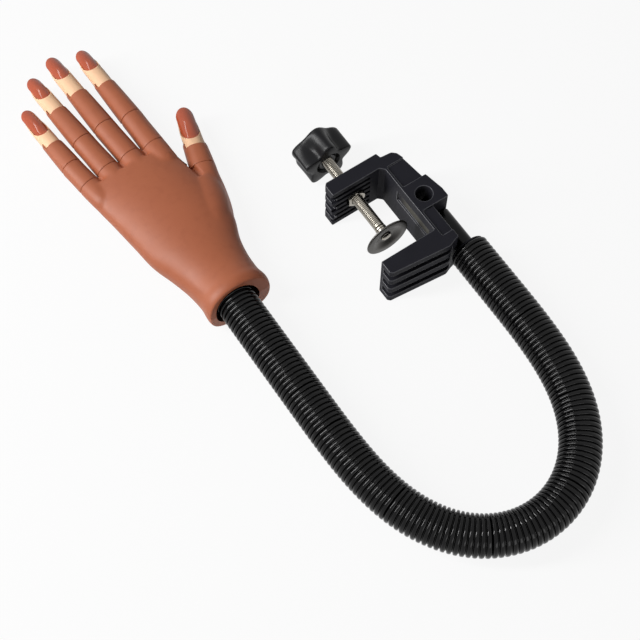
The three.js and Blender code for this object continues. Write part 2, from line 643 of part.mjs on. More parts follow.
// Wrist post: the last ball of the core at one end, the hand's pivot at the other
const BUSH_FROM = ARM_LENGTH + FIT;
const CLIP_FROM = BUSH_FROM + WRIST_BUSH_LENGTH + FIT;
const POST_END = CLIP_FROM + WRIST_CLIP_THICKNESS + 1.2;

function wristPost() {
  const last = hingeAt(BENDS);
  const widen = ARM_LENGTH - COLLAR_SPIGOT - 2;
  const r = WRIST_POST_RADIUS;
  const thin = r - 1;
  const clipTo = CLIP_FROM + WRIST_CLIP_THICKNESS + FIT;
  const profile = [
    [widen - 3, LINK_BAR_RADIUS], [widen, r], [CLIP_FROM, r], [CLIP_FROM, thin], [clipTo, thin],
    [clipTo, r - 0.2], [POST_END, r - 0.2],
  ];
  return solid(skinOver([...ballRings(last), ...profile.map(([s, radius]) => armRing(s, radius))]));
}

function wristRing(from, length, bore, radius) {
  const rings = [[from, radius], [from + length, radius], [from + length, bore], [from, bore]];
  return solid(tubeOver(rings.map(([s, r]) => armRing(s, r))));
}

// Hand: palm with the wrist stub, the knuckles and the ball of the thumb
function fingerFrame({ base: [x, y, z], yaw, pitch }) {
  const group = new THREE.Group();
  group.position.set(HAND_AXIS + x, y, z);
  group.rotation.set(rad(pitch), 0, rad(yaw), 'ZXY');
  group.updateMatrixWorld(true);
  return group;
}

// Space ahead of a joint's seam: square over the hinge, and under it slanting back so that the
// next piece can bend down by the given angle
function aheadOfSeam(turn, half) {
  const slant = Math.tan(rad(turn / 2 + 2));
  const far = 40;
  const outline = [[SEAM, far], [SEAM, 0], [SEAM - far * slant, -far], [far, -far], [far, far]];
  return across(outline, half);
}

function behindSeam(turn) {
  const slant = Math.tan(rad(turn / 2 + 2));
  const far = 40;
  const seam = SEAM + FIT;
  const outline = [[seam, far], [seam, 0], [seam + far * slant, -far], [-far, -far], [-far, far]];
  return across(outline, far);
}

// Balls have their poles on the hinge axis, so that their facets clear the socket's as they turn
function ballAt(radius) {
  const sphere = new THREE.SphereGeometry(radius, 10, 8);
  sphere.rotateZ(Math.PI / 2);
  return sphere;
}

function ballPeg() {
  return solid(ballAt(BALL_RADIUS)).add(solid(rod(PEG_RADIUS, 0, SEAM + PEG_LENGTH, 8)));
}

function pegHole() {
  const hole = rod(PEG_RADIUS + FIT, 0, SEAM + PEG_LENGTH + FIT, 8);
  return solid(ballAt(BALL_RADIUS + FIT)).add(solid(hole));
}

function palm(fingers) {
  const section = ([y, x, wide, over, under]) => ovalRing({
    x: HAND_AXIS + x, y, wide, over, under, sides: PALM_SIDES, squareness: PALM_SQUARENESS,
  });
  const thenar = ([y, x, z, wide, over]) => ovalRing({ x: HAND_AXIS + x, y, z, wide, over });
  let body = solid(skinOver(PALM_SECTIONS.map(section))).add(solid(skinOver(THENAR_SECTIONS.map(thenar))));

  // Each finger's knuckle reaches from inside the palm to the finger's seam
  for (const { spec, frame, turn } of fingers) {
    const wide = spec.half[0];
    const over = wide * FLATNESS;
    const knuckle = skinOver([
      ovalRing({ y: -18, z: 0.6, wide: wide * 0.9, over: over * 0.8 }),
      ovalRing({ y: -8, z: 0.6, wide, over: over * 1.04 }),
      ovalRing({ y: SEAM, wide, over }),
    ]);
    const room = aheadOfSeam(turn, wide + FIT);
    body = body.add(solid(knuckle, frame.matrixWorld)).subtract(solid(room, frame.matrixWorld))
      .subtract(solid(ballAt(BALL_SOCKET_RADIUS), frame.matrixWorld));
  }

  // Wrist: the hose's mouth, the bush's seat and the clip's room
  const bottom = routeAt(ARM_LENGTH).y + FIT;
  const seat = routeAt(BUSH_FROM).y + WRIST_BUSH_LENGTH + WRIST_CLIP_CAVITY;
  return body
    .subtract(solid(rod(WRIST_MOUTH_RADIUS, STUB_END - 5, bottom, 16, HAND_AXIS)))
    .subtract(solid(rod(WRIST_BUSH_RADIUS + FIT, STUB_END - 5, seat, HOSE_SIDES, HAND_AXIS)));
}

// A finger's first piece, between its two hinges
function proximal({ reach: [middle], half: [base, next] }, far) {
  const body = skinOver([
    ovalRing({ y: 0, wide: base, over: base * FLATNESS }),
    ovalRing({ y: middle * 0.35, wide: base * 0.97, over: base * 0.97 * FLATNESS }),
    ovalRing({ y: middle * 0.75, wide: next, over: next * FLATNESS }),
    ovalRing({ y: middle + SEAM + 3, wide: next, over: next * FLATNESS }),
  ]);
  return solid(body)
    .subtract(solid(behindSeam(KNUCKLE_TURN)))
    .subtract(pegHole())
    .subtract(solid(aheadOfSeam(MIDDLE_TURN, 2 * base), far))
    .subtract(solid(ballAt(BALL_SOCKET_RADIUS), far));
}

// The sleeve over a fingertip's root. from and end are distances from its own hinge.
function distalSleeve(end, wideFrom, wideTo, turn) {
  const wideMiddle = (wideFrom + wideTo) / 2;
  const body = skinOver([
    ovalRing({ y: 0, wide: wideFrom, over: wideFrom * FLATNESS }),
    ovalRing({ y: end * 0.5, wide: wideMiddle + 0.25, over: wideMiddle * FLATNESS }),
    ovalRing({ y: end + TONGUE_LENGTH, wide: wideTo, over: wideTo * FLATNESS }),
  ]);
  const far = 30;
  const step = across([[end, TONGUE_LEVEL], [end + far, TONGUE_LEVEL], [end + far, far], [end, far]], far);
  return solid(body)
    .subtract(solid(behindSeam(turn)))
    .subtract(pegHole())
    .subtract(solid(step))
    .subtract(solid(rod(PLUG_RADIUS + FIT, end - PLUG_LENGTH - FIT, end + far, 8)));
}

// Nail: a thin arched plate, oval in plan, with a tail in the fingertip's slot
function nailPlace(top, half) {
  const radius = half / Math.sin(rad(56));
  return { radius, centre: top - radius };
}

// Outline of an arched band about (0, centre), drawn in (X, Z)
function band(centre, inner, outer, spread, steps) {
  const arc = (radius, sign) => Array.from({ length: steps + 1 }, (_, i) => {
    const angle = sign * spread * (1 - (2 * i) / steps);
    return [radius * Math.sin(angle), centre + radius * Math.cos(angle)];
  });
  return [...arc(outer, -1), ...arc(inner, 1)];
}

function nail({ root, end, half, top }) {
  const { radius, centre } = nailPlace(top, half);
  const plate = along(band(centre, radius - NAIL_THICKNESS, radius, rad(62), 8), root - NAIL_TAIL, end);
  const side = [
    [NAIL_TAIL_HALF_WIDTH, root - NAIL_TAIL], [NAIL_TAIL_HALF_WIDTH, root + 0.6], [half * 0.86, root + 2.6],
    [half, root + 6], [half, end - 8], [half * 0.86, end - 3.6], [half * 0.5, end - 0.9],
  ];
  const outline = [...side, [0, end], ...side.map(([x, y]) => [-x, y]).reverse()];
  return solid(plate).intersect(solid(standing(outline, centre - radius, top + 2)));
}

// Fingertip: a plug in the sleeve, and on top the nail's seat and slot
function fingertip({ start, wide, root, end, half, top }) {
  const tipEnd = end - 3.5;
  const { radius, centre } = nailPlace(top, half);
  const skinTop = top + NAIL_SINK;
  const body = skinOver([
    ovalRing({ y: start + FIT, wide: wide - 0.2, over: wide * FLATNESS - 0.1 }),
    ovalRing({ y: root - 1, wide: half + 1, over: skinTop, under: half * 0.96 }),
    ovalRing({ y: (root + end) / 2, wide: half + 0.5, over: skinTop * 0.96, under: half * 0.86 }),
    ovalRing({ y: tipEnd - 3, wide: half * 0.84, over: skinTop * 0.8, under: half * 0.56 }),
    ovalRing({ y: tipEnd, wide: half * 0.5, over: skinTop * 0.5, under: half * 0.2 }),
  ]);
  const far = 20;
  const seatRadius = radius - NAIL_THICKNESS - FIT;
  const steps = 8;
  const seat = Array.from({ length: steps + 1 }, (_, i) => {
    const angle = rad(70) * (1 - (2 * i) / steps);
    return [seatRadius * Math.sin(angle), centre + seatRadius * Math.cos(angle)];
  });
  const low = seat.at(-1)[1];
  const seatOutline = [...seat, [-far, low], [-far, far], [far, far], [far, low]];
  const tailSpread = Math.asin((NAIL_TAIL_HALF_WIDTH + FIT) / seatRadius);
  const slot = band(centre, seatRadius, radius + FIT, tailSpread, 4);
  const shelf = across([
    [start - 1, TONGUE_LEVEL + FIT], [start - 1, -far], [start + TONGUE_LENGTH + FIT, -far],
    [start + TONGUE_LENGTH + FIT, TONGUE_LEVEL + FIT],
  ], far);
  return solid(body)
    .subtract(solid(shelf))
    .add(solid(rod(PLUG_RADIUS, start - PLUG_LENGTH, root - NAIL_TAIL - 1.5, 8)))
    .subtract(solid(along(seatOutline, root - FIT, end + far)))
    .subtract(solid(along(slot, root - NAIL_TAIL - FIT, root)));
}

// Assembly
const hand = new THREE.Group();
const arm = new THREE.Group();
const clamp = new THREE.Group();

// The clamp's moulding is two nodes, parted where the fixed jaw leaves the spine
const jawLevels = [-JAW_OPENING, JAW_OPENING / 2];
const jawRoom = solid(block([-THROAT_DEPTH, SPINE_INNER], jawLevels, [-CLAMP_WIDTH, CLAMP_WIDTH]));
const moulding = clampFrame();
clamp.add(mesh('clamp_frame', moulding.subtract(jawRoom), black()));
clamp.add(mesh('fixed_jaw', moulding.intersect(jawRoom), black()));
clamp.add(mesh('jaw_nut', jawNut(), steel()));
clamp.add(mesh('pad_disc', padDisc(), steel()));
clamp.add(mesh('pad_collar', padCollar(), steel()));
clamp.add(mesh('clamp_screw', clampScrew(), steel()));
clamp.add(mesh('knob', knob(), black()));

arm.add(mesh('arm_post', armPost(), glossBlack()));
arm.add(mesh('post_screw', postScrew(), steel()));
arm.add(mesh('arm_collar', armCollar(), black()));
for (let i = 1; i < BENDS; i += 1) arm.add(mesh(`core_link_${i}`, coreLink(i), steel()));
for (let i = 1; i <= BENDS; i += 1) arm.add(mesh(`sleeve_${i}`, sleeve(i), glossBlack()));
arm.add(mesh('wrist_collar', wristCollar(), black()));
arm.add(mesh('wrist_post', wristPost(), steel()));
const clipBore = WRIST_POST_RADIUS - 1 + FIT;
const wristClip = wristRing(CLIP_FROM + FIT / 2, WRIST_CLIP_THICKNESS, clipBore, WRIST_CLIP_RADIUS);
arm.add(mesh('wrist_clip', wristClip, steel()));

const jointed = (spec, turn) => ({ spec, turn, frame: fingerFrame(spec) });
const palmJoints = Object.values(FINGERS).map((spec) => jointed(spec, KNUCKLE_TURN));
palmJoints.push(jointed(THUMB, THUMB_TURN));
hand.add(mesh('palm', palm(palmJoints), skin()));
const wristBush = wristRing(BUSH_FROM, WRIST_BUSH_LENGTH, WRIST_POST_RADIUS + RUN, WRIST_BUSH_RADIUS);
hand.add(mesh('wrist_bush', wristBush, black()));

for (const [name, spec] of Object.entries(FINGERS)) {
  const [middle, boundary, root, end] = spec.reach;
  const [, wide, wideTip, half] = spec.half;
  const frame = fingerFrame(spec);
  const bent = new THREE.Group();
  bent.position.set(0, middle, 0);
  bent.rotation.set(rad(DISTAL_DROOP), 0, rad(spec.set), 'ZXY');
  bent.updateMatrix();
  frame.add(mesh(`${name}_knuckle_ball`, ballPeg(), cream()));
  frame.add(mesh(`${name}_proximal`, proximal(spec, bent.matrix), skin()));
  const tip = {
    start: boundary - middle, wide: wideTip, root: root - middle, end: end - middle, half,
    top: half * NAIL_HEIGHT,
  };
  bent.add(mesh(`${name}_middle_ball`, ballPeg(), cream()));
  bent.add(mesh(`${name}_middle`, distalSleeve(tip.start, wide, wideTip, MIDDLE_TURN), skin()));
  bent.add(mesh(`${name}_tip`, fingertip(tip), cream()));
  bent.add(mesh(`${name}_nail`, nail(tip), lacquer()));
  frame.add(bent);
  hand.add(frame);
}

const thumbFrame = fingerFrame(THUMB);
const [thumbStart, thumbRoot, thumbEnd] = THUMB.reach;
const [thumbBase, thumbWide, thumbHalf] = THUMB.half;
const thumbTip = {
  start: thumbStart, wide: thumbWide, root: thumbRoot, end: thumbEnd, half: thumbHalf,
  top: thumbHalf * NAIL_HEIGHT,
};
thumbFrame.add(mesh('thumb_ball', ballPeg(), cream()));
thumbFrame.add(mesh('thumb_sleeve', distalSleeve(thumbStart, thumbBase, thumbWide, THUMB_TURN), skin()));
thumbFrame.add(mesh('thumb_tip', fingertip(thumbTip), cream()));
thumbFrame.add(mesh('thumb_nail', nail(thumbTip), lacquer()));
hand.add(thumbFrame);

const practiceHand = new THREE.Group();
practiceHand.add(clamp, arm, hand);

export default practiceHand;
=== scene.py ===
# %% [markdown]
# # A nail practice hand on a bendable arm
#
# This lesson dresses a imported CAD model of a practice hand. The CAD model is the frame: it fixes
# every size and says which piece moves with which. Blender adds the looks, piece by piece.
# Everything is written in millimetres, as a maker would, and turned to metres in one place.

import math

import bmesh
import bpy
import numpy as np
from mathutils import Matrix, Vector


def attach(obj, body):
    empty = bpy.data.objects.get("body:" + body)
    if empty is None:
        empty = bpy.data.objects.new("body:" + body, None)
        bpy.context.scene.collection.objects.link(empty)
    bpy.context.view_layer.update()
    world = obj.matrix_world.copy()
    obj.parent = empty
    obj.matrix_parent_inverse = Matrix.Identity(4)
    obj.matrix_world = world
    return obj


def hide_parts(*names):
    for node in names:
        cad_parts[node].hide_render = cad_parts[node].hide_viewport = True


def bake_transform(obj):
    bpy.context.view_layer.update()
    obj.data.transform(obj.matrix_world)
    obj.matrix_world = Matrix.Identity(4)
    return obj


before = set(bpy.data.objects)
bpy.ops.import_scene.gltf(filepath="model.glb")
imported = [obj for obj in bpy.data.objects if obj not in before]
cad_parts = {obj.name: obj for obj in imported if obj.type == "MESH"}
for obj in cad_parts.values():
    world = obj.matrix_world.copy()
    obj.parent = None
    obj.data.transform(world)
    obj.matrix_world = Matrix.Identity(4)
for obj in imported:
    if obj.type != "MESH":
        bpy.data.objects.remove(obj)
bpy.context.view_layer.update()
MM = 0.001

# %% [markdown]
# ## The camera
#
# The object lies on its side and is seen from above, from over its wrist. The camera stands almost
# a metre away, so its lens is long and the picture shows little perspective. Its three axes are
# worked out from a heading and a downward tilt.

# %% Camera
TILT = math.radians(64.5)
HEADING = math.radians(34.1)
PLACE = Vector((-304.7, -346.7, 866.5))
FOCAL = 1449  # pixels, for a picture 640 pixels wide

ahead = Vector((math.sin(HEADING) * math.cos(TILT), math.cos(HEADING) * math.cos(TILT), -math.sin(TILT)))
right = Vector((math.cos(HEADING), -math.sin(HEADING), 0))
up = right.cross(ahead)

camera = bpy.data.objects.new("camera", bpy.data.cameras.new("camera"))
bpy.context.scene.collection.objects.link(camera)
camera.data.sensor_width = 36
camera.data.lens = FOCAL / 640 * 36
camera.data.clip_start, camera.data.clip_end = 0.05, 20
camera.matrix_world = Matrix.Translation(PLACE * MM) @ Matrix((right, up, -ahead)).transposed().to_4x4()
bpy.context.scene.camera = camera
print("camera lens:", round(camera.data.lens, 1), "mm")

# %% [markdown]
# ## Shader sums in plain Python
#
# A material is a graph of nodes. Written by hand that is long, so two small classes shorten it. A
# Wire wraps one output socket, and Python's operators on it add Math nodes. A Finish holds one
# material, and its node method makes any other node: settings first, then sockets.

# %% Wire and Finish
class Wire:
    def __init__(self, finish, socket):
        self.finish, self.socket = finish, socket

    def maths(self, operation, first, second):
        return self.finish.node("ShaderNodeMath", {"operation": operation}, {0: first, 1: second})

    def __add__(self, other):
        return self.maths("ADD", self, other)

    def __sub__(self, other):
        return self.maths("SUBTRACT", self, other)

    def __rsub__(self, other):
        return self.maths("SUBTRACT", other, self)

    def __mul__(self, other):
        return self.maths("MULTIPLY", self, other)

    def __pow__(self, other):
        return self.maths("POWER", self, other)

    __radd__, __rmul__ = __add__, __mul__


def colour(red, green, blue):
    """A colour as seen on a screen, 0 to 255, in the linear light that shaders use."""
    linear = [((c / 255 + 0.055) / 1.055) ** 2.4 if c > 10 else c / 255 / 12.92 for c in (red, green, blue)]
    return (*linear, 1.0)


class Finish:
    def __init__(self, name, **fixed):
        self.material = bpy.data.materials.new(name)
        self.material.use_nodes = True
        self.tree = self.material.node_tree
        self.shader = self.tree.nodes["Principled BSDF"]
        self.set(**{key.replace("_", " "): value for key, value in fixed.items()})

    def put(self, socket, value):
        if isinstance(value, Wire):
            self.tree.links.new(value.socket, socket)
        else:
            socket.default_value = value

    def set(self, **channels):
        for key, value in channels.items():
            self.put(self.shader.inputs[key], value)

    def node(self, kind, settings=(), sockets=(), output=0):
        made = self.tree.nodes.new(kind)
        for key, value in dict(settings).items():
            if key == "stops":
                while len(made.color_ramp.elements) < len(value):
                    made.color_ramp.elements.new(0.5)
                for element, (place, tint) in zip(made.color_ramp.elements, value):
                    element.position, element.color = place, tint
            else:
                setattr(made, key, value)
        for key, value in dict(sockets).items():
            self.put(made.inputs[key], value)
        return Wire(self, made.outputs[output])

    def place(self):
        """A point's own place in metres, which stays with the piece as it moves."""
        return self.node("ShaderNodeTexCoord", output="Object")

    def noise(self, size, detail=3.0, roughness=0.5, stretch=(1, 1, 1)):
        """Cloudy noise from 0 to 1 whose patches are about size millimetres across."""
        spread = self.node("ShaderNodeMapping", {}, {"Vector": self.place(), "Scale": stretch})
        return self.node("ShaderNodeTexNoise", {}, {
            "Vector": spread, "Scale": 1 / (size * MM), "Detail": detail, "Roughness": roughness})

    def blend(self, share, first, second):
        """The first colour where share is 0, the second where it is 1."""
        return self.node("ShaderNodeMix", {"data_type": "RGBA"}, {0: share, 6: first, 7: second}, output=2)

    def band(self, value, low, high):
        """0 under low, 1 over high, smooth between."""
        return self.node("ShaderNodeMapRange", {"interpolation_type": "SMOOTHSTEP"}, {
            "Value": value, "From Min": low, "From Max": high})

    def edges(self, low=0.52, high=0.6):
        """1 on outward edges, where hands and tools rub and where the knob's painted highlight lies."""
        rub = self.node("ShaderNodeNewGeometry", output="Pointiness")
        return self.band(rub, low, high)

    def relief(self, height, depth, normal=None):
        """Bumps whose full height is depth millimetres."""
        sockets = {"Height": height, "Strength": 1.0, "Distance": depth * MM}
        if normal is not None:
            sockets["Normal"] = normal
        return self.node("ShaderNodeBump", {}, sockets)


print("a mid brown in linear light:", [round(c, 3) for c in colour(169, 103, 77)])

# %% [markdown]
# ## Finishes of the hand
#
# The hand is moulded in one brown plastic with a soft sheen. Real mouldings are never one flat
# colour: the pigment drifts a little, the gloss is uneven where hands have polished it, and the
# skin of the plastic has a fine orange peel. The fingertips are a harder, paler plastic. The nails
# are lacquered, so a clear coat lies over their colour.

# %% Brown moulded plastic
skin_brown = Finish("brown_plastic", Specular_IOR_Level=0.4)
drift = skin_brown.noise(38, detail=2)
mottle = skin_brown.noise(6, detail=3)
peel = skin_brown.noise(0.9, detail=2)
polish = skin_brown.noise(16, detail=2)
tone = skin_brown.blend(drift, colour(156, 85, 55), colour(166, 94, 62))
tone = skin_brown.blend(skin_brown.band(mottle, 0.45, 0.8) * 0.4, tone, colour(146, 77, 49))
skin_brown.set(**{
    "Base Color": tone,
    "Roughness": 0.42 + polish * 0.14,
    "Normal": skin_brown.relief(peel + mottle * 0.8, 0.03),
})

# %% The same plastic, painted dark as the shade inside a bore
bore_painted_shade = Finish("bore_painted_shade_plastic", Specular_IOR_Level=0.1)
# Painted shade: the bore's wall gets a dark colour for the shade inside it, mottled a little.
bore_mottle = bore_painted_shade.noise(2.5, detail=2)
bore_painted_shade.set(**{
    "Base Color": bore_painted_shade.blend(bore_mottle, colour(44, 22, 15), colour(58, 30, 21)),
    "Roughness": 0.6 + bore_mottle * 0.1,
    "Normal": bore_painted_shade.relief(bore_mottle, 0.02),
})

# %% Cream fingertip plastic
cream = Finish("cream_plastic", Specular_IOR_Level=0.35)
cream_drift = cream.noise(9, detail=2)
cream_peel = cream.noise(0.7, detail=2)
cream.set(**{
    "Base Color": cream.blend(cream_drift, colour(234, 188, 150), colour(240, 198, 160)),
    "Roughness": 0.38 + cream.noise(5) * 0.14,
    "Normal": cream.relief(cream_peel, 0.02),
})

# %% Nail lacquer
lacquer = Finish("nail_lacquer", Specular_IOR_Level=0.1, Coat_Weight=0.8, Coat_Roughness=0.05, Coat_IOR=1.42)
streak = lacquer.noise(3.5, detail=2, stretch=(1, 0.25, 1))
ripple = lacquer.noise(5, detail=1)
lacquer.set(**{
    "Base Color": lacquer.blend(streak, colour(158, 66, 38), colour(184, 90, 58)),
    "Roughness": 0.14 + streak * 0.06,
    "Normal": lacquer.relief(ripple, 0.015),
})
for finish in (skin_brown, cream, lacquer):
    print(finish.material.name, "has", len(finish.tree.nodes), "nodes")

# %% [markdown]
# ## Finishes of the clamp and the arm
#
# The clamp and knob are glass-filled black plastic: satin and slightly grainy. Their edges are
# painted paler, partly as wear and partly as a painted highlight of the light that catches them.
# The hose is a smoother black plastic. The post is steel under gloss black. The screw, nut
# and pad are bright plated steel with fine turning lines and a slightly warm tint.

# %% Black plastics and coating
def black_finish(name, base, rub_and_sheen_tint, rough, grain, specular=0.4, patch=None, depth=0.02):
    made = Finish(name, Specular_IOR_Level=specular)
    cloud = made.noise(14, detail=2)
    speckle = made.noise(grain, detail=2)
    tint = made.blend(cloud * 0.5, base, tuple(c * 1.5 for c in base[:3]) + (1.0,))
    if patch:
        tint = made.blend(patch(made), tint, colour(84, 82, 76))
    # Edges take a paler colour: wear on the post, and on the knob also a painted highlight along its lobes.
    if rub_and_sheen_tint:
        tint = made.blend(made.edges() * 0.6, tint, rub_and_sheen_tint)
    made.set(**{
        "Base Color": tint,
        "Roughness": rough + cloud * 0.1,
        "Normal": made.relief(speckle, depth),
    })
    return made


def pale_strip(made):
    """1 on the shallow strip inside the clamp's spine, which is given a paler colour."""
    place = made.node("ShaderNodeSeparateXYZ", {}, {0: made.place()})
    x, y, z = (Wire(made, place.socket.node.outputs[i]) for i in range(3))
    across = made.band(z, 0.0004, 0.0016) * (1 - made.band(z, 0.0104, 0.0116))
    along = made.band(y, 0.0045, 0.008) * (1 - made.band(y, 0.030, 0.042))
    return across * along * (1 - made.band(x, 0.0238, 0.0242)) * made.band(x, 0.0215, 0.022)


clamp_black = black_finish("satin_black_plastic", colour(36, 36, 41), None, 0.4, 0.6, 0.03, pale_strip)
# The clamp's bevelled edges are painted paler: partly wear, partly a painted highlight of the light on them.
edge_wear_and_sheen = black_finish("rubbed_black_edges_and_painted_sheen", colour(54, 54, 59), None, 0.3, 0.6, 0.35)
hose_black = black_finish("hose_black_plastic", colour(5, 5, 6), None, 0.06, 1.2, 0.2, depth=0.004)
coat_black = black_finish("gloss_black_coating", colour(8, 8, 9), colour(24, 24, 26), 0.16, 2.0, 0.14)
# The knob's paler edge colour is partly a painted highlight along its lobes.
knob_black = black_finish("knob_black_plastic", colour(20, 20, 22), colour(84, 84, 88), 0.24, 0.6, 0.15)

# %% Bright steel
def steel_finish(name, tint, rough, lines, along):
    """Steel turned in a lathe: fine lines run round the Y axis, so they change quickly along it."""
    made = Finish(name, Metallic=1.0)
    cloud = made.noise(7, detail=3)
    stretch = (0.08, 1, 0.08) if along else (1, 1, 1)
    turning = made.noise(lines, detail=2, stretch=stretch)
    made.set(**{
        "Base Color": made.blend(cloud, tint, tuple(c * 0.8 for c in tint[:3]) + (1.0,)),
        "Roughness": rough + turning * 0.1 + cloud * 0.08,
        "Normal": made.relief(turning, 0.012),
    })
    return made


bright_steel = steel_finish("plated_steel", colour(166, 161, 151), 0.16, 0.5, True)
pad_steel = steel_finish("stamped_steel", colour(84, 82, 79), 0.27, 0.8, True)
link_metal = steel_finish("link_metal", colour(196, 196, 199), 0.3, 0.8, False)
for finish in (clamp_black, hose_black, coat_black, bright_steel, pad_steel, link_metal):
    print(finish.material.name)

# %% [markdown]
# ## From rings to a mesh
#
# Nearly every piece here is a row of rings joined by a skin: a lathe-turned part, a finger, a hose.
# One function makes the mesh from the rings. Edges that turn sharply are marked sharp, so flat
# faces stay flat and round ones shade smoothly.

# %% Mesh helpers
def finish_mesh(name, mesh, finish, sharp=38, edge_finish=None):
    """Smooths and names a mesh. Faces that carry material number 1 take the edge finish."""
    made = bmesh.new()
    made.from_mesh(mesh)
    bmesh.ops.recalc_face_normals(made, faces=made.faces)
    limit = math.radians(sharp)
    for face in made.faces:
        face.smooth = True
    for edge in made.edges:
        edge.smooth = len(edge.link_faces) != 2 or edge.calc_face_angle(0) < limit
    made.to_mesh(mesh)
    made.free()
    numbers = [face.material_index for face in mesh.polygons]
    mesh.materials.clear()
    mesh.materials.append(finish.material)
    if edge_finish:
        mesh.materials.append(edge_finish.material)
        mesh.polygons.foreach_set("material_index", numbers)
    piece = bpy.data.objects.new(name, mesh)
    bpy.context.scene.collection.objects.link(piece)
    return piece


def skin_mesh(name, rings, caps=(True, True), closed_row=False):
    """Quads over rings with the same number of points. A capped end gets a fan to its middle."""
    rings = [np.asarray(ring, float) for ring in rings]
    sides = len(rings[0])
    points = np.concatenate(rings)
    faces = []
    count = len(rings)
    for row in range(count if closed_row else count - 1):
        low, high = row * sides, (row + 1) % count * sides
        for k in range(sides):
            n = (k + 1) % sides
            faces.append((low + k, low + n, high + n, high + k))
    extra = []
    for cap, ring, first in ((caps[0], rings[0], 0), (caps[1], rings[-1], (count - 1) * sides)):
        if cap and not closed_row:
            middle = len(points) + len(extra)
            extra.append(ring.mean(axis=0))
            faces += [(first + k, first + (k + 1) % sides, middle) for k in range(sides)]
    if extra:
        points = np.concatenate([points, extra])
    mesh = bpy.data.meshes.new(name)
    mesh.from_pydata((points * MM).tolist(), [], faces)
    mesh.validate()
    return mesh


def step(value, low, high):
    """0 under low, 1 over high, smooth between, for numbers and arrays."""
    t = np.clip((value - low) / (high - low), 0, 1)
    return t * t * (3 - 2 * t)


def circle(radius, y, sides=64, x=0.0, z=0.0):
    turn = np.arange(sides) * 2 * math.pi / sides
    return np.stack([x + radius * np.cos(turn), np.full(sides, float(y)), z + radius * np.sin(turn)], axis=1)


def soften(profile, radius=0.4, steps=3):
    """Rounds each corner of a lathe profile of (radius, y) points."""
    points = [np.array(p, float) for p in profile]
    rounded = [points[0]]
    for before, corner, after in zip(points, points[1:], points[2:]):
        reach = min(radius, 0.45 * np.linalg.norm(before - corner), 0.45 * np.linalg.norm(after - corner))
        a = corner + (before - corner) * reach / max(np.linalg.norm(before - corner), 1e-9)
        b = corner + (after - corner) * reach / max(np.linalg.norm(after - corner), 1e-9)
        for i in range(steps + 1):
            t = i / steps
            rounded.append((1 - t) ** 2 * a + 2 * t * (1 - t) * corner + t * t * b)
    return rounded + [points[-1]]


def turned(name, profile, finish, sides=64, x=0.0, radius=0.4, sharp=38):
    """A piece turned about the Y axis, from a profile that starts and ends on or near the axis."""
    rings = [circle(max(r, 0.01), y, sides, x) for r, y in soften(profile, radius)]
    return finish_mesh(name, skin_mesh(name, rings), finish, sharp)


# %% [markdown]
# ## Cutting and rounding a moulded block
#
# The clamp's frame is a moulding: a thick profile with ribs and slots cut into it, and every edge
# slightly round. It is drawn as an outline with rounded corners, extruded, cut by other blocks with
# the Boolean modifier, and its edges get a Bevel modifier.

# %% Block helpers
def rounded_outline(corners, steps=6):
    """Corners are (x, y, radius)."""
    points = [np.array(c[:2], float) for c in corners]
    made = []
    for i, (corner, spec) in enumerate(zip(points, corners)):
        before, after = points[i - 1], points[(i + 1) % len(points)]
        radius = spec[2] if len(spec) > 2 else 0
        if radius <= 0:
            made.append(corner)
            continue
        to_before = (before - corner) / np.linalg.norm(before - corner)
        to_after = (after - corner) / np.linalg.norm(after - corner)
        half = math.acos(np.clip(to_before @ to_after, -1, 1)) / 2
        reach = min(radius / math.tan(half), 0.48 * np.linalg.norm(before - corner),
                    0.48 * np.linalg.norm(after - corner))
        a, b = corner + to_before * reach, corner + to_after * reach
        for k in range(steps + 1):
            t = k / steps
            made.append((1 - t) ** 2 * a + 2 * t * (1 - t) * corner + t * t * b)
    return made


def extrusion(name, outline, low, high, axes="xyz"):
    """A prism: the outline in the first two axes, the levels along the third."""
    order = ["xyz".index(c) for c in axes]
    made = bmesh.new()
    rows = []
    for level in (low, high):
        row = []
        for u, v in outline:
            place = [0.0, 0.0, 0.0]
            place[order[0]], place[order[1]], place[order[2]] = u * MM, v * MM, level * MM
            row.append(made.verts.new(place))
        rows.append(row)
    made.faces.new(rows[0])
    made.faces.new(rows[1])
    for k in range(len(outline)):
        n = (k + 1) % len(outline)
        made.faces.new((rows[0][k], rows[0][n], rows[1][n], rows[1][k]))
    bmesh.ops.recalc_face_normals(made, faces=made.faces)
    mesh = bpy.data.meshes.new(name)
    made.to_mesh(mesh)
    made.free()
    return mesh


def as_object(name, mesh):
    made = bpy.data.objects.new(name, mesh)
    bpy.context.scene.collection.objects.link(made)
    return made


def settled(piece):
    """The mesh with its modifiers applied, as a new mesh. The working object is removed."""
    graph = bpy.context.evaluated_depsgraph_get()
    mesh = bpy.data.meshes.new_from_object(piece.evaluated_get(graph))
    bpy.data.objects.remove(piece)
    return mesh


def facing_out(mesh):
    """The same mesh, with every face turned outwards, which the Boolean modifier relies on."""
    made = bmesh.new()
    made.from_mesh(mesh)
    bmesh.ops.recalc_face_normals(made, faces=made.faces)
    made.to_mesh(mesh)
    made.free()
    return mesh


def cut(mesh, cutters):
    """The mesh with every cutter mesh taken out of it."""
    body = as_object("body", facing_out(mesh))
    tools = [as_object("cutter", facing_out(cutter)) for cutter in cutters]
    for tool in tools:
        modifier = body.modifiers.new("cut", "BOOLEAN")
        modifier.operation, modifier.solver, modifier.object = "DIFFERENCE", "EXACT", tool
    made = settled(body)
    for tool in tools:
        bpy.data.objects.remove(tool)
    return made


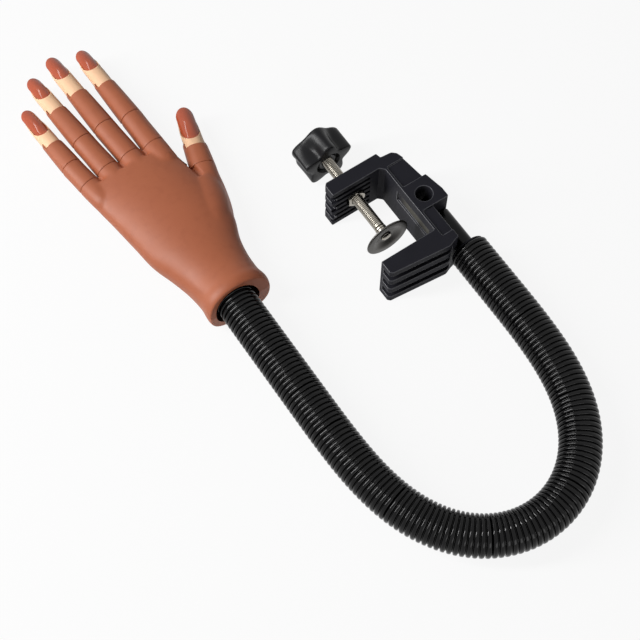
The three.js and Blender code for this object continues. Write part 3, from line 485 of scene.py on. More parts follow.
def eased(mesh, width, segments=3, angle=30):
    """The mesh with its edges rounded. The rounded edges carry material number 1."""
    for _ in range(2):
        mesh.materials.append(None)
    body = as_object("body", mesh)
    modifier = body.modifiers.new("round", "BEVEL")
    modifier.width, modifier.segments = width * MM, segments
    modifier.limit_method, modifier.angle_limit = "ANGLE", math.radians(angle)
    modifier.use_clamp_overlap = False
    modifier.material = 1
    return settled(body)


print("helpers ready")

# %% [markdown]
# ## The clamp's frame
#
# Seen from the side it is a C: a thick jaw that holds the table, a spine, and a jaw that carries
# the screw. A boss on the spine holds the arm's post. The thick jaw's back is cut by three deep
# slots, which leave fins, and the screw jaw has fine ridges on its inner face.

# %% Clamp frame
HALF = 20.5
JAW_TIP, SCREW_TIP_X = -21.2, -19.2
SPINE_IN, SPINE_OUT, BASE_OUT = 22.1, 40.4, 32.8
OPENING, SCREW_JAW_BACK = 59.5, 70.5
BOSS_LOW, BOSS_TOP, BOSS_OUT = 16.0, 38.5, 45.7
ARM_X = 39.8

side_view = rounded_outline([
    (JAW_TIP, 0, 0.8), (JAW_TIP, -9.6, 1.4), (-19.4, -11.4, 1.4), (23.9, -16, 4), (29.1, -14, 3),
    (BASE_OUT, -13, 1.2), (BASE_OUT, BOSS_LOW, 0.6), (BOSS_OUT, BOSS_LOW, 1.2), (BOSS_OUT, 23.5, 3),
    (42.7, BOSS_TOP, 1), (SPINE_OUT, BOSS_TOP, 0.5), (37.6, 58.5, 6), (36.2, 63, 3), (33.2, 65.7, 3),
    (24.9, 66.5, 1), (24, SCREW_JAW_BACK, 0.8), (-17.4, SCREW_JAW_BACK, 1), (SCREW_TIP_X, 68.7, 1),
    (SCREW_TIP_X, OPENING, 0.8), (19.1, OPENING, 2), (SPINE_IN, 56.5, 2), (SPINE_IN, 0, 1.2),
])
frame_mesh = extrusion("clamp_body", side_view, -HALF, HALF)

cutters = []
for side in (-1, 1):
    low, high = sorted((side * (HALF - 1.2), side * (HALF + 1)))
    for (x0, x1), (y0, y1) in (((24.1, 33.8), (-6.5, BOSS_LOW)), ((24.1, 41.4), (BOSS_TOP, 57.5))):
        outline = rounded_outline([(x0, y0, 1.5), (x1, y0, 0), (x1, y1, 0), (x0, y1, 1.5)])
        cutters.append(extrusion("set_back", outline, low, high))

SLOTS, SLOT_WIDTH = 3, 6.0
slot_outline = rounded_outline([
    (JAW_TIP - 1, -3, 0), (-16.2, -3, 1.5), (-16.2, -6.4, 1.5), (26.8, -9.4, 1.2),
    (26.8, -17.5, 0), (JAW_TIP - 1, -17.5, 0)])
pitch = (2 * HALF + SLOT_WIDTH) / (SLOTS + 1)
for i in range(1, SLOTS + 1):
    middle = -HALF - SLOT_WIDTH / 2 + i * pitch
    cutters.append(extrusion("slot", slot_outline, middle - SLOT_WIDTH / 2, middle + SLOT_WIDTH / 2))

fine_cutters = []
for i in range(1, 7):
    middle = -HALF + i * 2 * HALF / 7
    groove = [(SCREW_TIP_X - 1, OPENING - 1), (12.1, OPENING - 1),
              (12.1, OPENING + 1.8), (SCREW_TIP_X - 1, OPENING + 1.8)]
    fine_cutters.append(extrusion("ridge_groove", groove, middle - 1.5, middle + 1.5))
for i in range(1, 4):
    middle = -HALF + i * 2 * HALF / 4
    notch = [(SCREW_TIP_X - 1, OPENING - 1), (-16.2, OPENING - 1), (-16.2, 71.5), (SCREW_TIP_X - 1, 71.5)]
    cutters.append(extrusion("tip_notch", notch, middle - 2.25, middle + 2.25))

strip = [(0.5, 4.75), (11.5, 4.75), (11.5, 41.75), (0.5, 41.75)]
cutters.append(extrusion("inner_strip", strip, SPINE_IN - 1, SPINE_IN + 1.5, axes="zyx"))


def drill(radius, low, high, axis, place, sides=40):
    """A round cutter. place gives the two other coordinates in X, Y, Z order."""
    turn = [2 * math.pi * k / sides for k in range(sides)]
    others = "xyz".replace(axis, "")
    outline = [(place[0] + radius * math.cos(a), place[1] + radius * math.sin(a)) for a in turn]
    return extrusion("drill", outline, low, high, axes=others + axis)


cutters.append(drill(6.0, -HALF - 2, HALF + 2, "z", (BASE_OUT, 26.5)))
cutters.append(drill(2.2, -HALF - 2, 0, "z", (ARM_X, 35.3), 24))
cutters.append(drill(4.3, BOSS_LOW - 1, BOSS_TOP + 1, "y", (ARM_X, 0)))
fine_cutters.append(drill(4.5, OPENING - 2, SCREW_JAW_BACK + 1, "y", (0, 0)))
fine_cutters.append(drill(13.6 / 2 / math.cos(math.pi / 6), OPENING - 1, 64.1, "y", (0, 0), 6))

rounded_frame = eased(cut(frame_mesh, cutters), 0.5)
clamp_frame = finish_mesh("clamp_moulding", cut(rounded_frame, fine_cutters), clamp_black, 38, edge_wear_and_sheen)
even = clamp_frame.modifiers.new("even_shading", "WEIGHTED_NORMAL")
even.keep_sharp = True
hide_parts("clamp_frame", "fixed_jaw")
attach(clamp_frame, "clamp")
print("clamp frame faces:", len(clamp_frame.data.polygons))

# %% [markdown]
# ## Screw, nut and pad
#
# The screw is an ordinary 8 mm one. Its thread is a real helix here: on each ring the radius
# depends on how far round a point is, so the groove climbs by one pitch for every turn. The nut
# sits in a pocket of the jaw. The pad is a dished disc held by a rivet in the screw's collar.

# %% Screw with its thread
PITCH = 1.25


def threaded(low, high, radius, depth, sides=36, per_pitch=7):
    count = int((high - low) / PITCH * per_pitch)
    turn = np.arange(sides) * 2 * math.pi / sides
    rings = []
    for i in range(count + 1):
        y = low + (high - low) * i / count
        phase = (y / PITCH + turn / (2 * math.pi)) % 1
        fade = min(1, (y - low) / 2)
        groove = depth * fade * np.clip(np.abs(2 * phase - 1) * 1.7 - 0.7, 0, 1)
        r = radius - groove
        rings.append(np.stack([r * np.cos(turn), np.full(sides, y), r * np.sin(turn)], axis=1))
    return rings


screw_rings = [circle(r, y, 36) for r, y in [
    (0.01, 26.6), (2.2, 26.6), (2.5, 26.9), (2.5, 30.3), (3.1, 30.3), (3.9, 31.0)]]
screw_rings += threaded(31.2, 97, 4.0, 0.5)
screw_rings += [circle(3.4, 97.2, 36), circle(3.4, 104.4, 36), circle(0.01, 104.4, 36)]
screw = finish_mesh("screw_thread", skin_mesh("screw_thread", screw_rings, (False, False)), bright_steel, 60)
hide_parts("clamp_screw")
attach(screw, "screw")
print("screw rings:", len(screw_rings))

# %% Nut
def hexagon(flats, y, limit=99.0, sides=96):
    turn = np.arange(sides) * 2 * math.pi / sides
    wedge = (turn + math.pi / 6) % (math.pi / 3) - math.pi / 6
    r = np.minimum(flats / 2 / np.cos(wedge), limit)
    return np.stack([r * np.cos(turn), np.full(sides, float(y)), r * np.sin(turn)], axis=1)


nut_rings = [circle(4.1, 63.8, 96), circle(4.1, 58.0, 96), circle(4.7, 57.3, 96), circle(6.2, 57.3, 96)]
nut_rings += [hexagon(13, 57.3 + d, 6.35 + d * 1.6) for d in (0.05, 0.25, 0.5, 0.75)]
nut_rings += [hexagon(13, 63.8)]
nut = finish_mesh("jaw_nut_hex", skin_mesh("jaw_nut_hex", nut_rings, closed_row=True), bright_steel, 25)
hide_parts("jaw_nut")
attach(nut, "clamp")

# %% Pad disc, rivet and collar
PAD_RIM = 20.8
pad_profile = [
    (2.6, 24.3), (2.6, 22.9), (6.0, 22.9), (7.4, 22.35), (10.4, 21.1), (11.6, PAD_RIM), (15.8, PAD_RIM),
    (16.5, 21.2), (16.5, 22.0), (15.9, 22.2), (11.9, 22.2), (10.8, 22.5), (7.8, 23.75), (6.4, 24.3),
]
pad_rings = [circle(r, y, 96) for r, y in soften(pad_profile + [pad_profile[0]], 0.5)][:-1]
pad = finish_mesh("dished_pad", skin_mesh("dished_pad", pad_rings, closed_row=True), pad_steel, 50)
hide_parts("pad_disc")
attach(pad, "pad")

collar = turned("screw_collar", [
    (0.01, 21.3), (1.6, 21.32), (3.2, 21.7), (4.0, 22.3), (4.0, 22.6), (2.2, 22.6), (2.2, 24.9), (4.2, 24.9),
    (4.2, 26.2), (3.7, 26.5), (3.7, 28.4), (4.2, 28.7), (4.2, 30.0), (2.9, 30.0), (2.9, 26.5), (0.01, 26.5),
], bright_steel, radius=0.3)
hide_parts("pad_collar")
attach(collar, "pad_carrier")
print("pad diameter:", round(pad.dimensions.x / MM, 1), "mm")

# %% [markdown]
# ## The knob
#
# A moulded star of five lobes. In plan, the radius swings between lobe and valley with the cosine
# of five times the angle. Rings of that star make the side, a rounded rim at both ends, and a
# recess with a small hub where the screw goes in.

# %% Knob
KNOB_LOW, KNOB_HEIGHT, KNOB_RADIUS, KNOB_VALLEY = 92.5, 19.5, 19.9, 6.2


def star(y, inset=0.0, shrink=1.0, sides=200):
    turn = np.arange(sides) * 2 * math.pi / sides
    lobe = (1 + np.cos(5 * turn)) / 2
    valley = KNOB_VALLEY - 3.0 * step((y - KNOB_LOW) / KNOB_HEIGHT, 0.35, 1.0)
    r = (KNOB_RADIUS - inset - valley * (1 - lobe) ** 0.85) * shrink
    place = turn + math.radians(4)
    return np.stack([r * np.sin(place), np.full(sides, float(y)), r * np.cos(place)], axis=1)


def knob_circle(radius, y):
    ring = star(y)
    flat = ring[:, [0, 2]]
    flat *= radius / np.linalg.norm(flat, axis=1, keepdims=True)
    ring[:, [0, 2]] = flat
    return ring


knob_rings = [knob_circle(4.3, 103.0), knob_circle(4.3, 94.4),
              knob_circle(4.9, 94.0), knob_circle(6.6, 94.0), knob_circle(7.0, 94.4),
              knob_circle(7.0, 96.2), knob_circle(7.6, 96.5),
              knob_circle(8.6, 96.4), knob_circle(9.0, 96.0),
              knob_circle(9.3, 93.1), knob_circle(9.8, KNOB_LOW + 0.05)]
for turn in (90, 67, 45, 22, 0):
    a = math.radians(turn)
    knob_rings.append(star(KNOB_LOW + 1.3 * (1 - math.sin(a)), 1.3 * (1 - math.cos(a))))
for y in np.linspace(KNOB_LOW + 3, KNOB_LOW + KNOB_HEIGHT - 4, 5):
    knob_rings.append(star(y))
for turn in (0, 18, 36, 54, 72, 90):
    a = math.radians(turn)
    knob_rings.append(star(KNOB_LOW + KNOB_HEIGHT - 2.2 * (1 - math.sin(a)), 2.2 * (1 - math.cos(a))))
knob_rings += [star(KNOB_LOW + KNOB_HEIGHT, 2.6, s) for s in (0.86, 0.7)]
knob_rings += [knob_circle(r, y) for r, y in (
    (8.2, 112.0), (7.9, 111.6), (7.6, 111.5), (3.0, 111.5), (0.01, 111.5))]
knob = finish_mesh("star_knob", skin_mesh("star_knob", knob_rings, (False, False)), knob_black, 45)
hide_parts("knob")
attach(knob, "screw")
print("knob across:", round(knob.dimensions.x / MM, 1), "mm")

# %% [markdown]
# ## The arm's post
#
# A black coated steel rod. Its thinner pin turns in the clamp's boss, held by a small screw in a
# groove. At its other end a plastic collar closes the hose.

# %% Post and collar
post = turned("post_rod", [
    (0.01, 38.5), (3.6, 38.5), (4.0, 38.1), (4.0, 37.5), (3.2, 37.4), (3.2, 33.2),
    (4.0, 33.1), (4.0, 15.7), (6.1, 15.7), (6.7, 15.1), (6.7, -31.0), (3.8, -32.0), (3.8, -38.0), (0.01, -38.0),
], coat_black, x=ARM_X, radius=0.3)
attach(post, "arm_base")
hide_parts("arm_post")

hose_collar = turned("hose_collar", [
    (6.95, -15.3), (11.8, -15.3), (12.6, -15.9), (12.6, -17.0), (11.4, -17.1), (11.4, -29.0), (6.95, -29.0),
], clamp_black, x=ARM_X, radius=0.3)
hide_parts("arm_collar")
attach(hose_collar, "arm_base")

lock_screw = turned("lock_screw", [
    (0.01, 0), (1.9, 0), (1.9, 15.6), (1.6, 16), (1.2, 16),
    (1.0, 15.0), (0.01, 15.0)], bright_steel, 32, radius=0.15)
lock_screw.data.transform(
    Matrix.Translation(Vector((ARM_X, 35.3, -3.5)) * MM) @ Matrix.Rotation(-math.pi / 2, 4, "X"))
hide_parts("post_screw")
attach(lock_screw, "clamp")
print("post length:", round(post.dimensions.y / MM, 1), "mm")

# %% [markdown]
# ## The route of the arm
#
# The arm leaves the clamp straight, turns half round and comes back to the wrist. Its heading
# follows a cosine wave, so the bend starts and ends softly. The hose is cut in eight lengths, one
# round each hinge of the frame.

# %% Route
ARM_START, LEG_A, BEND, LEG_B = -17.3, 21.7, 390.0, 91.0
ARM_LENGTH = LEG_A + BEND + LEG_B
LENGTHS = 8
LENGTH = ARM_LENGTH / LENGTHS
STEP = 0.5


def heading_at(s):
    u = min(1, max(-1, (s - LEG_A - BEND / 2) / (BEND / 2)))
    return math.pi / 2 * (1 + u + math.sin(math.pi * u) / math.pi)


route = [np.array([ARM_X, ARM_START, 0.0])]
for i in range(int((ARM_LENGTH + LENGTH) / STEP) + 2):
    h = heading_at((i + 0.5) * STEP)
    route.append(route[-1] + STEP * np.array([-math.sin(h), -math.cos(h), 0.0]))


def route_at(s):
    if s <= 0:
        return np.array([ARM_X, ARM_START - s, 0.0])
    i = int(s / STEP)
    t = s / STEP - i
    return route[i] * (1 - t) + route[i + 1] * t


def hose_ring(s, radius, sides=48):
    h = heading_at(s)
    outward = np.array([math.cos(h), -math.sin(h), 0.0])
    turn = np.arange(sides)[:, None] * 2 * math.pi / sides
    return route_at(s) + radius * (outward * np.cos(turn) + np.array([0, 0, 1.0]) * np.sin(turn))


WRIST_X = route_at(ARM_LENGTH)[0]
print("arm length:", ARM_LENGTH, "mm; hand's axis at X =", round(WRIST_X, 2))

# %% [markdown]
# ## The ribbed hose
#
# Its wall is a row of round-shouldered ribs with narrow grooves between. The rib's section is
# written once, as places along one pitch, and repeated along the route. Each length is made where
# it lies along the route, and is not tied to the bodies that its hinge joins. The seventh length
# is parted at its hinge, and each half rides its own body: where the arm is bent in every
# joint at once, that hinge turns so little that a blend across it loses its turning axis to
# rounding. A round nose on the first half fills the wedge that opens between the two.

# %% Hose
HOSE_RADIUS, HOSE_BORE, RIB_DEPTH, RIBS = 14.1, 11.9, 1.7, 18
PITCH = LENGTH / RIBS
BLEND_REACH = 26
NOSE_RADIUS, NOSE_WALL, NOSE_ANGLES = 11.6, 0.8, range(0, 41, 10)
PARTED = 7
rib = [(0.00, 1.0)]
for k in range(13):
    turn = math.pi * k / 12
    across = math.copysign(abs(math.cos(turn)) ** 0.8, math.cos(turn))
    rib.append((0.5 - 0.4 * across, 0.9 * (1 - math.sin(turn) ** 0.7)))


def hose_piece(name, first, ribs, nose=()):
    start, end = first * PITCH, (first + ribs) * PITCH
    rings = [hose_ring(start, HOSE_BORE)]
    for k in range(first, first + ribs):
        rings += [hose_ring((k + place) * PITCH, HOSE_RADIUS - depth * RIB_DEPTH) for place, depth in rib]
    rings.append(hose_ring(end, HOSE_RADIUS - RIB_DEPTH))
    rings += [hose_ring(end + along, radius) for along, radius in nose]
    bore_from = end - 2 if nose else end
    rings += [hose_ring(bore_from + (start - bore_from) * k / 8, HOSE_BORE) for k in range(8)]
    piece = finish_mesh(name, skin_mesh(name, rings, closed_row=True), hose_black, 75)
    return piece


def arc(radius, angles):
    return [(radius * math.sin(math.radians(a)), radius * math.cos(math.radians(a))) for a in angles]


bodies = ["arm_base"] + [f"arm_link_{i}" for i in range(1, LENGTHS)] + ["arm_end"]
for i in range(1, LENGTHS + 1):
    hinge = (i - 0.5) * LENGTH
    if i == PARTED:
        nose = arc(NOSE_RADIUS, NOSE_ANGLES) + arc(NOSE_RADIUS - NOSE_WALL, reversed(NOSE_ANGLES))
        halves = [
            hose_piece(f"hose_{i}", (i - 1) * RIBS, RIBS // 2, nose),
            hose_piece(f"hose_{i}_end", (i - 1) * RIBS + RIBS // 2, RIBS // 2),
        ]
        for half, body in zip(halves, bodies[i - 1:i + 1]):
            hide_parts(f"sleeve_{i}")
            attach(half, body)
        continue
    hose = hose_piece(f"hose_{i}", (i - 1) * RIBS, RIBS)
    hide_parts(f"sleeve_{i}")
    reach = [route_at(hinge - BLEND_REACH) * MM, route_at(hinge + BLEND_REACH) * MM]
    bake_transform(hose)
print("hose faces in one length:", len(hose.data.polygons))

# %% [markdown]
# ## Smooth sections
#
# A finger is drawn from a few sections: where it is, how wide and how high. A curve through those
# numbers gives every section between, and a rounded-square outline, the superellipse, gives its
# shape. This is how a boat or an aeroplane is lofted, and it gives clean highlights.

# %% Sections
def flow(stations, y):
    """Smooth values at y from rows of (y, value, value, ...)."""
    table = np.asarray(stations, float)
    t, values = table[:, 0], table[:, 1:]
    slopes = np.gradient(values, t, axis=0)
    y = np.clip(np.asarray(y, float), t[0], t[-1])
    i = np.clip(np.searchsorted(t, y) - 1, 0, len(t) - 2)
    span = (t[i + 1] - t[i])[..., None]
    u = ((y - t[i]) / (t[i + 1] - t[i]))[..., None]
    return ((2 * u ** 3 - 3 * u ** 2 + 1) * values[i] + (u ** 3 - 2 * u ** 2 + u) * span * slopes[i]
            + (3 * u ** 2 - 2 * u ** 3) * values[i + 1] + (u ** 3 - u ** 2) * span * slopes[i + 1])


def oval(turn, wide, over, under, squareness=2.2):
    """An oval whose upper and lower halves may differ, also in how square they are."""
    c, s = np.cos(turn), np.sin(turn)
    power = 2 / np.where(s > 0, *(squareness if np.ndim(squareness) else (squareness, squareness)))
    x = wide * np.sign(c) * np.abs(c) ** power
    z = np.where(s > 0, over, under) * np.sign(s) * np.abs(s) ** power
    return x, z


def moved(rings, matrix):
    a = np.array(matrix)
    return [ring @ a[:3, :3].T + a[:3, 3] for ring in rings]


# %% [markdown]
# ## The fingers' plan
#
# Each finger has a base hinge, its own yaw, and a middle joint with a slight set of its own. The
# same numbers place every piece of it. Under each hinge the seam slants back, which leaves room for
# the finger to bend.

# %% Finger plan
SEAM, BALL, SOCKET, FIT = 3.2, 4.6, 5.2, 0.3
KNUCKLE_TURN, MIDDLE_TURN, THUMB_TURN, DROOP = 55, 60, 30, -3
FLAT = 0.94
SLIM = 0.98
FINGERS = {
    "index": dict(base=(17.6, 168.8, 0.6), yaw=1, set=0,
        reach=(30, 68, 84.3, 106.5), half=(9, 8.5, 7.2, 5.4)),
    "middle": dict(base=(-0.4, 170.3, 0.8), yaw=4.2, set=-2.2,
        reach=(32, 70.8, 87.8, 112), half=(9, 8.6, 7.3, 5.5)),
    "ring": dict(base=(-18.5, 169.6, 0.6), yaw=5.2, set=-1.6,
        reach=(31, 66.9, 81.3, 104.3), half=(9, 8.4, 7.1, 5.4)),
    "pinky": dict(base=(-35.2, 166.3, 0), yaw=7.6, set=-3.2,
        reach=(21, 47, 58.3, 85.8), half=(8.3, 7.9, 6.8, 5.2)),
}
THUMB = dict(base=(37, 137.5, -4.2), yaw=-15.4, reach=(20, 26.4, 55), half=(9.6, 8.4, 6.4))


def base_frame(spec):
    x, y, z = spec["base"]
    return (Matrix.Translation((WRIST_X + x, y, z)) @ Matrix.Rotation(math.radians(spec["yaw"]), 4, "Z")
            @ Matrix.Rotation(math.radians(-1.5), 4, "X"))


def bent_frame(spec):
    return (Matrix.Translation((0, spec["reach"][0], 0)) @ Matrix.Rotation(math.radians(spec["set"]), 4, "Z")
            @ Matrix.Rotation(math.radians(DROOP), 4, "X"))


def seam_behind(turn):
    """Y of the seam, seen from its joint, on the piece that the joint carries."""
    slant = math.tan(math.radians(turn / 2 + 2))
    return lambda z: SEAM + FIT + np.maximum(-z, 0) * slant


def seam_ahead(turn):
    slant = math.tan(math.radians(turn / 2 + 2))
    return lambda z: SEAM - np.maximum(-z, 0) * slant


for name, spec in FINGERS.items():
    tip = base_frame(spec) @ bent_frame(spec) @ Vector((0, spec["reach"][3] - spec["reach"][0], 0))
    print(name, "nail ends at", [round(c, 1) for c in tip])

# %% [markdown]
# ## Skins between two seams
#
# Every brown finger piece is a skin from one seam to the next. The ring's points slide along the
# finger until they meet the seams, so the seams stay crisp without cutting. A small round lip runs
# round each end, and the end faces dip to the ball or the socket.

# %% Piece between seams
SIDES = 72
TURN = (np.arange(SIDES) + 0.5) * 2 * math.pi / SIDES
LIP = 0.7


def on_seam(x, z, joint, seam):
    """Y, in the piece's own frame, where a line along the finger meets a joint's seam."""
    a = np.linalg.inv(np.array(joint))
    y = np.full(np.shape(x), float(joint[1][3]) + SEAM)
    for _ in range(8):
        local = np.stack([x, y, z], axis=-1) @ a[:3, :3].T + a[:3, 3]
        y = y - (local[..., 1] - seam(local[..., 2]))
    return y


def body_rings(stations, near, far, steps, lips=(LIP, LIP), shares=None):
    """Rings of a lofted body whose ends follow near(x, z) and far(x, z)."""
    rings = []
    for v in (np.linspace(0, 1, steps) if shares is None else shares):
        y = np.full(SIDES, float(stations[0][0]) * (1 - v) + float(stations[-1][0]) * v)
        for _ in range(5):
            wide, over, under = flow(stations, y).T
            x, z = oval(TURN, wide, over, under)
            a, b = near(x, z) + lips[0], far(x, z) - lips[1]
            y = a + (b - a) * v
        rings.append(np.stack([x, y, z], axis=1))
    return rings


def lip_rings(ring, sign, lip=LIP, steps=4):
    """A quarter-round lip that leaves a ring inwards. sign is the way along the finger."""
    made = []
    for i in range(1, steps + 1):
        a = math.pi / 2 * i / steps
        across = np.hypot(ring[:, 0], ring[:, 2])
        keep = 1 - lip * (1 - math.cos(a)) / across
        made.append(np.stack([
            ring[:, 0] * keep, ring[:, 1] + sign * lip * math.sin(a), ring[:, 2] * keep], axis=1))
    return made


def seat_rings(ring, joint, seam, radius, pole, steps=6):
    """From a lip, across the end face and into a ball's seat, to its pole at 0 or 180 degrees."""
    a = np.linalg.inv(np.array(joint))
    local = ring @ a[:3, :3].T + a[:3, 3]
    across = np.hypot(local[:, 0], local[:, 2])
    cos, sin = local[:, 0] / across, local[:, 2] / across
    low, high = np.zeros(SIDES), across.copy()
    for _ in range(30):
        middle = (low + high) / 2
        outside = middle ** 2 + seam(middle * sin) ** 2 > radius ** 2
        low, high = np.where(outside, low, middle), np.where(outside, middle, high)
    mouth = high
    made = []
    for t in (0.5, 1.0):
        r = across + (mouth - across) * t
        made.append(np.stack([r * cos, seam(r * sin), r * sin], axis=1))
    first = np.arctan2(mouth, seam(mouth * sin))
    for i in range(1, steps + 1):
        turn = first + (math.radians(pole) - first) * i / steps
        r = np.maximum(radius * np.sin(turn), 0.01)
        made.append(np.stack([r * cos, radius * np.cos(turn), r * sin], axis=1))
    return moved(made, joint)


IDENTITY = Matrix.Identity(4)


def hand_piece(name, node, body, rings, frame_matrix, finish, sharp=50, caps=(True, True)):
    piece = finish_mesh(name, skin_mesh(name, moved(rings, frame_matrix), caps), finish, sharp)
    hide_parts(node)
    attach(piece, body)
    return piece


# %% First pieces of the fingers
for name, spec in FINGERS.items():
    here, far = base_frame(spec), bent_frame(spec)
    middle = spec["reach"][0]
    base, narrow = spec["half"][0] * SLIM, spec["half"][1] * SLIM
    stations = [(y, w, w * FLAT, w * FLAT) for y, w in (
        (0, base), (middle * 0.35, base * 0.97), (middle * 0.75, narrow * 0.995),
        (middle + SEAM + 3, narrow))]
    near = lambda x, z: on_seam(x, z, IDENTITY, seam_behind(KNUCKLE_TURN))
    ahead_of = lambda x, z: on_seam(x, z, far, seam_ahead(MIDDLE_TURN))
    body = body_rings(stations, near, ahead_of, 26)
    first, last = lip_rings(body[0], -1), lip_rings(body[-1], 1)
    rings = seat_rings(first[-1], IDENTITY, seam_behind(KNUCKLE_TURN), BALL + FIT, 0)[::-1] + first[::-1] + body
    rings += last + seat_rings(last[-1], far, seam_ahead(MIDDLE_TURN), SOCKET, 180)
    hand_piece(f"{name}_first_piece", f"{name}_proximal", f"{name}_base", rings, here,
               skin_brown)
print("rings in a first piece:", len(rings))

# %% [markdown]
# ## Sleeves over the fingertips
#
# The last brown piece ends in a straight edge on top and a short tongue underneath, which carries
# the pale fingertip. The same lofted skin is used, and its far end steps forward below a level.

# %% Second pieces, and the thumb's sleeve
TONGUE, TONGUE_LEVEL, TONGUE_ROLL = 5.0, 1.5, 0.3


def tongue_share(x, z, drop=0.0):
    """1 on the tongue, 0 over it. Its edge rises towards the little finger's side."""
    return step(TONGUE_LEVEL - drop - TONGUE_ROLL * x - z, -0.5, 0.5)


def stepped_end(ring, drop, flat_y, sign):
    """Closes an end that is straight above the tongue's edge and reaches further below it."""
    below = tongue_share(ring[:, 0], ring[:, 2], drop)
    level = TONGUE_LEVEL - drop - TONGUE_ROLL * ring[:, 0]
    shelf = ring[:, 2] * 0.96 * (1 - below) + level * below
    face = np.stack([ring[:, 0] * 0.96, ring[:, 1], shelf], axis=1)
    back = np.stack([ring[:, 0] * 0.95, np.full(len(ring), flat_y + sign * 0.02), shelf], axis=1)
    return [face, back, back * [0.3, 1, 0.3]]


def tip_sleeve(name, node, body_name, here, end, wide_from, wide_to, turn):
    a, b = wide_from * SLIM, wide_to * SLIM
    stations = [(y, w, w * FLAT, w * FLAT) for y, w in (
        (0, a), (end * 0.5, (a + b) / 2 + 0.2), (end + TONGUE + 0.5, b))]
    near = lambda x, z: on_seam(x, z, IDENTITY, seam_behind(turn))
    far = lambda x, z: end + TONGUE * tongue_share(x, z)
    body = body_rings(stations, near, far, 30, (LIP, 0.3))
    first, last = lip_rings(body[0], -1), lip_rings(body[-1], 1, 0.3, 3)
    rings = seat_rings(first[-1], IDENTITY, seam_behind(turn), BALL + FIT, 0)[::-1] + first[::-1] + body
    rings += last + stepped_end(last[-1], 0, end, 1)
    return hand_piece(name, node, body_name, rings, here, skin_brown)


for name, spec in FINGERS.items():
    middle, boundary = spec["reach"][:2]
    here = base_frame(spec) @ bent_frame(spec)
    tip_sleeve(f"{name}_second_piece", f"{name}_middle", f"{name}_end", here, boundary - middle,
               spec["half"][1], spec["half"][2], MIDDLE_TURN)
tip_sleeve("thumb_piece", "thumb_sleeve", "thumb", base_frame(THUMB), THUMB["reach"][0],
           THUMB["half"][0], THUMB["half"][1], THUMB_TURN)
print("sleeves made:", len(FINGERS) + 1)

# %% [markdown]
# ## Ball pegs
#
# A pale ball sits in the socket of each joint, and its stem is glued into the next piece. It hides
# at rest and shows when a finger bends.

# %% Ball pegs
def ball_peg(name, node, body, here):
    profile = [(BALL * math.sin(math.radians(a)), -BALL * math.cos(math.radians(a)))
               for a in range(0, 151, 6)]
    profile += [(2.05, 4.35), (2.0, SEAM + 6.0), (1.7, SEAM + 6.5), (0.01, SEAM + 6.5)]
    rings = [circle(max(r, 0.01), y, 40) for r, y in profile]
    return hand_piece(name, node, body, rings, here, cream)


for name, spec in FINGERS.items():
    ball_peg(f"{name}_base_ball", f"{name}_knuckle_ball", f"{name}_base", base_frame(spec))
    ball_peg(f"{name}_mid_ball", f"{name}_middle_ball", f"{name}_end", base_frame(spec) @ bent_frame(spec))
ball_peg("thumb_base_ball", "thumb_ball", "thumb", base_frame(THUMB))
print("ball pegs made:", 2 * len(FINGERS) + 1)

# %% [markdown]
# ## Fingertips and nails
#
# The pale tip is a hard former. Its top is scooped to the nail's curve, and where the scoop starts
# the plastic rises in a small curved fold, as skin does round a nail. The nail is a thin arched
# plate, oval in plan, that runs past the tip.

# %% Fingertips
NAIL_RISE, SINK, NAIL_THICK = 0.92, 0.9, 1.0
ROOT_ROUND, END_ROUND, NAIL_ARCH, SEAT_GAP = 1.3, 1.25, 4.5, 0.5


def nail_arc(half):
    """Radius and centre height of the nail's arch."""
    radius = half / math.sin(math.radians(56))
    return radius, half * NAIL_RISE - radius


def nail_drop(y, root, end):
    """How far the nail's crown lies under its highest place, which is a third of the way along."""
    return NAIL_ARCH * ((y - root) / (end - root) - 0.35) ** 2


def fingertip(name, node, body_name, here, start, wide, root, end, half):
    top = half * NAIL_RISE
    skin_top = top + SINK
    tip_end = end - 3.5
    radius, centre = nail_arc(half)
    seat = radius - NAIL_THICK - SEAT_GAP
    stations = [
        (start + FIT, wide * SLIM - 0.5, wide * SLIM * FLAT - 0.5, wide * SLIM * FLAT - 0.5),
        (root - 2, half + 1.05, skin_top, half * 0.98),
        ((root + end) / 2, half + 0.35, skin_top * 0.96, half * 0.86),
        (tip_end - 3, half * 0.84, skin_top * 0.8, half * 0.56),
        (tip_end, half * 0.55, skin_top * 0.5, half * 0.24),
    ]
    near = lambda x, z: start + FIT + TONGUE * tongue_share(x, z, -FIT)
    far = lambda x, z: np.full(np.shape(x), tip_end)
    span = tip_end - start
    places = np.concatenate([np.linspace(0, root - 1.5 - start, 8)[:-1],
                             np.arange(root - 1.5, root + 7, 0.3) - start,
                             np.linspace(root + 7, tip_end, 12) - start])
    body = body_rings(stations, near, far, 0, (0.2, 0), places / span)
    for ring in body:
        x, y, z = ring.T
        lowest = half * NAIL_RISE - radius * (1 - math.cos(math.radians(56))) - 1.1
        arch = np.maximum(centre + np.sqrt(np.maximum(seat ** 2 - x ** 2, 0.0)), lowest)
        arch = np.maximum(arch - nail_drop(y, root, end), 0.1)
        seat_half, seat_round = half + 0.3, ROOT_ROUND * half
        short = np.maximum((root - 0.25 + seat_round - y) / seat_round, 0)
        inside = step(seat_half * (1 - np.hypot(x / seat_half, short)), -0.35, 0.35)
        ring[:, 2] = np.where(z > 0, z * (1 - inside) + np.minimum(z, arch) * inside, z)
    first = lip_rings(body[0], -1, 0.2, 2)
    dome = []
    for turn in (25, 50, 70, 85):
        a = math.radians(turn)
        ring = body[-1] * [math.cos(a), 1, math.cos(a)] + [0, 1.6 * math.sin(a), 0]
        dome.append(ring)
    rings = stepped_end(first[-1], -FIT, start + FIT, -1)[::-1] + first[::-1] + body + dome
    return hand_piece(name, node, body_name, rings, here, cream, 60)


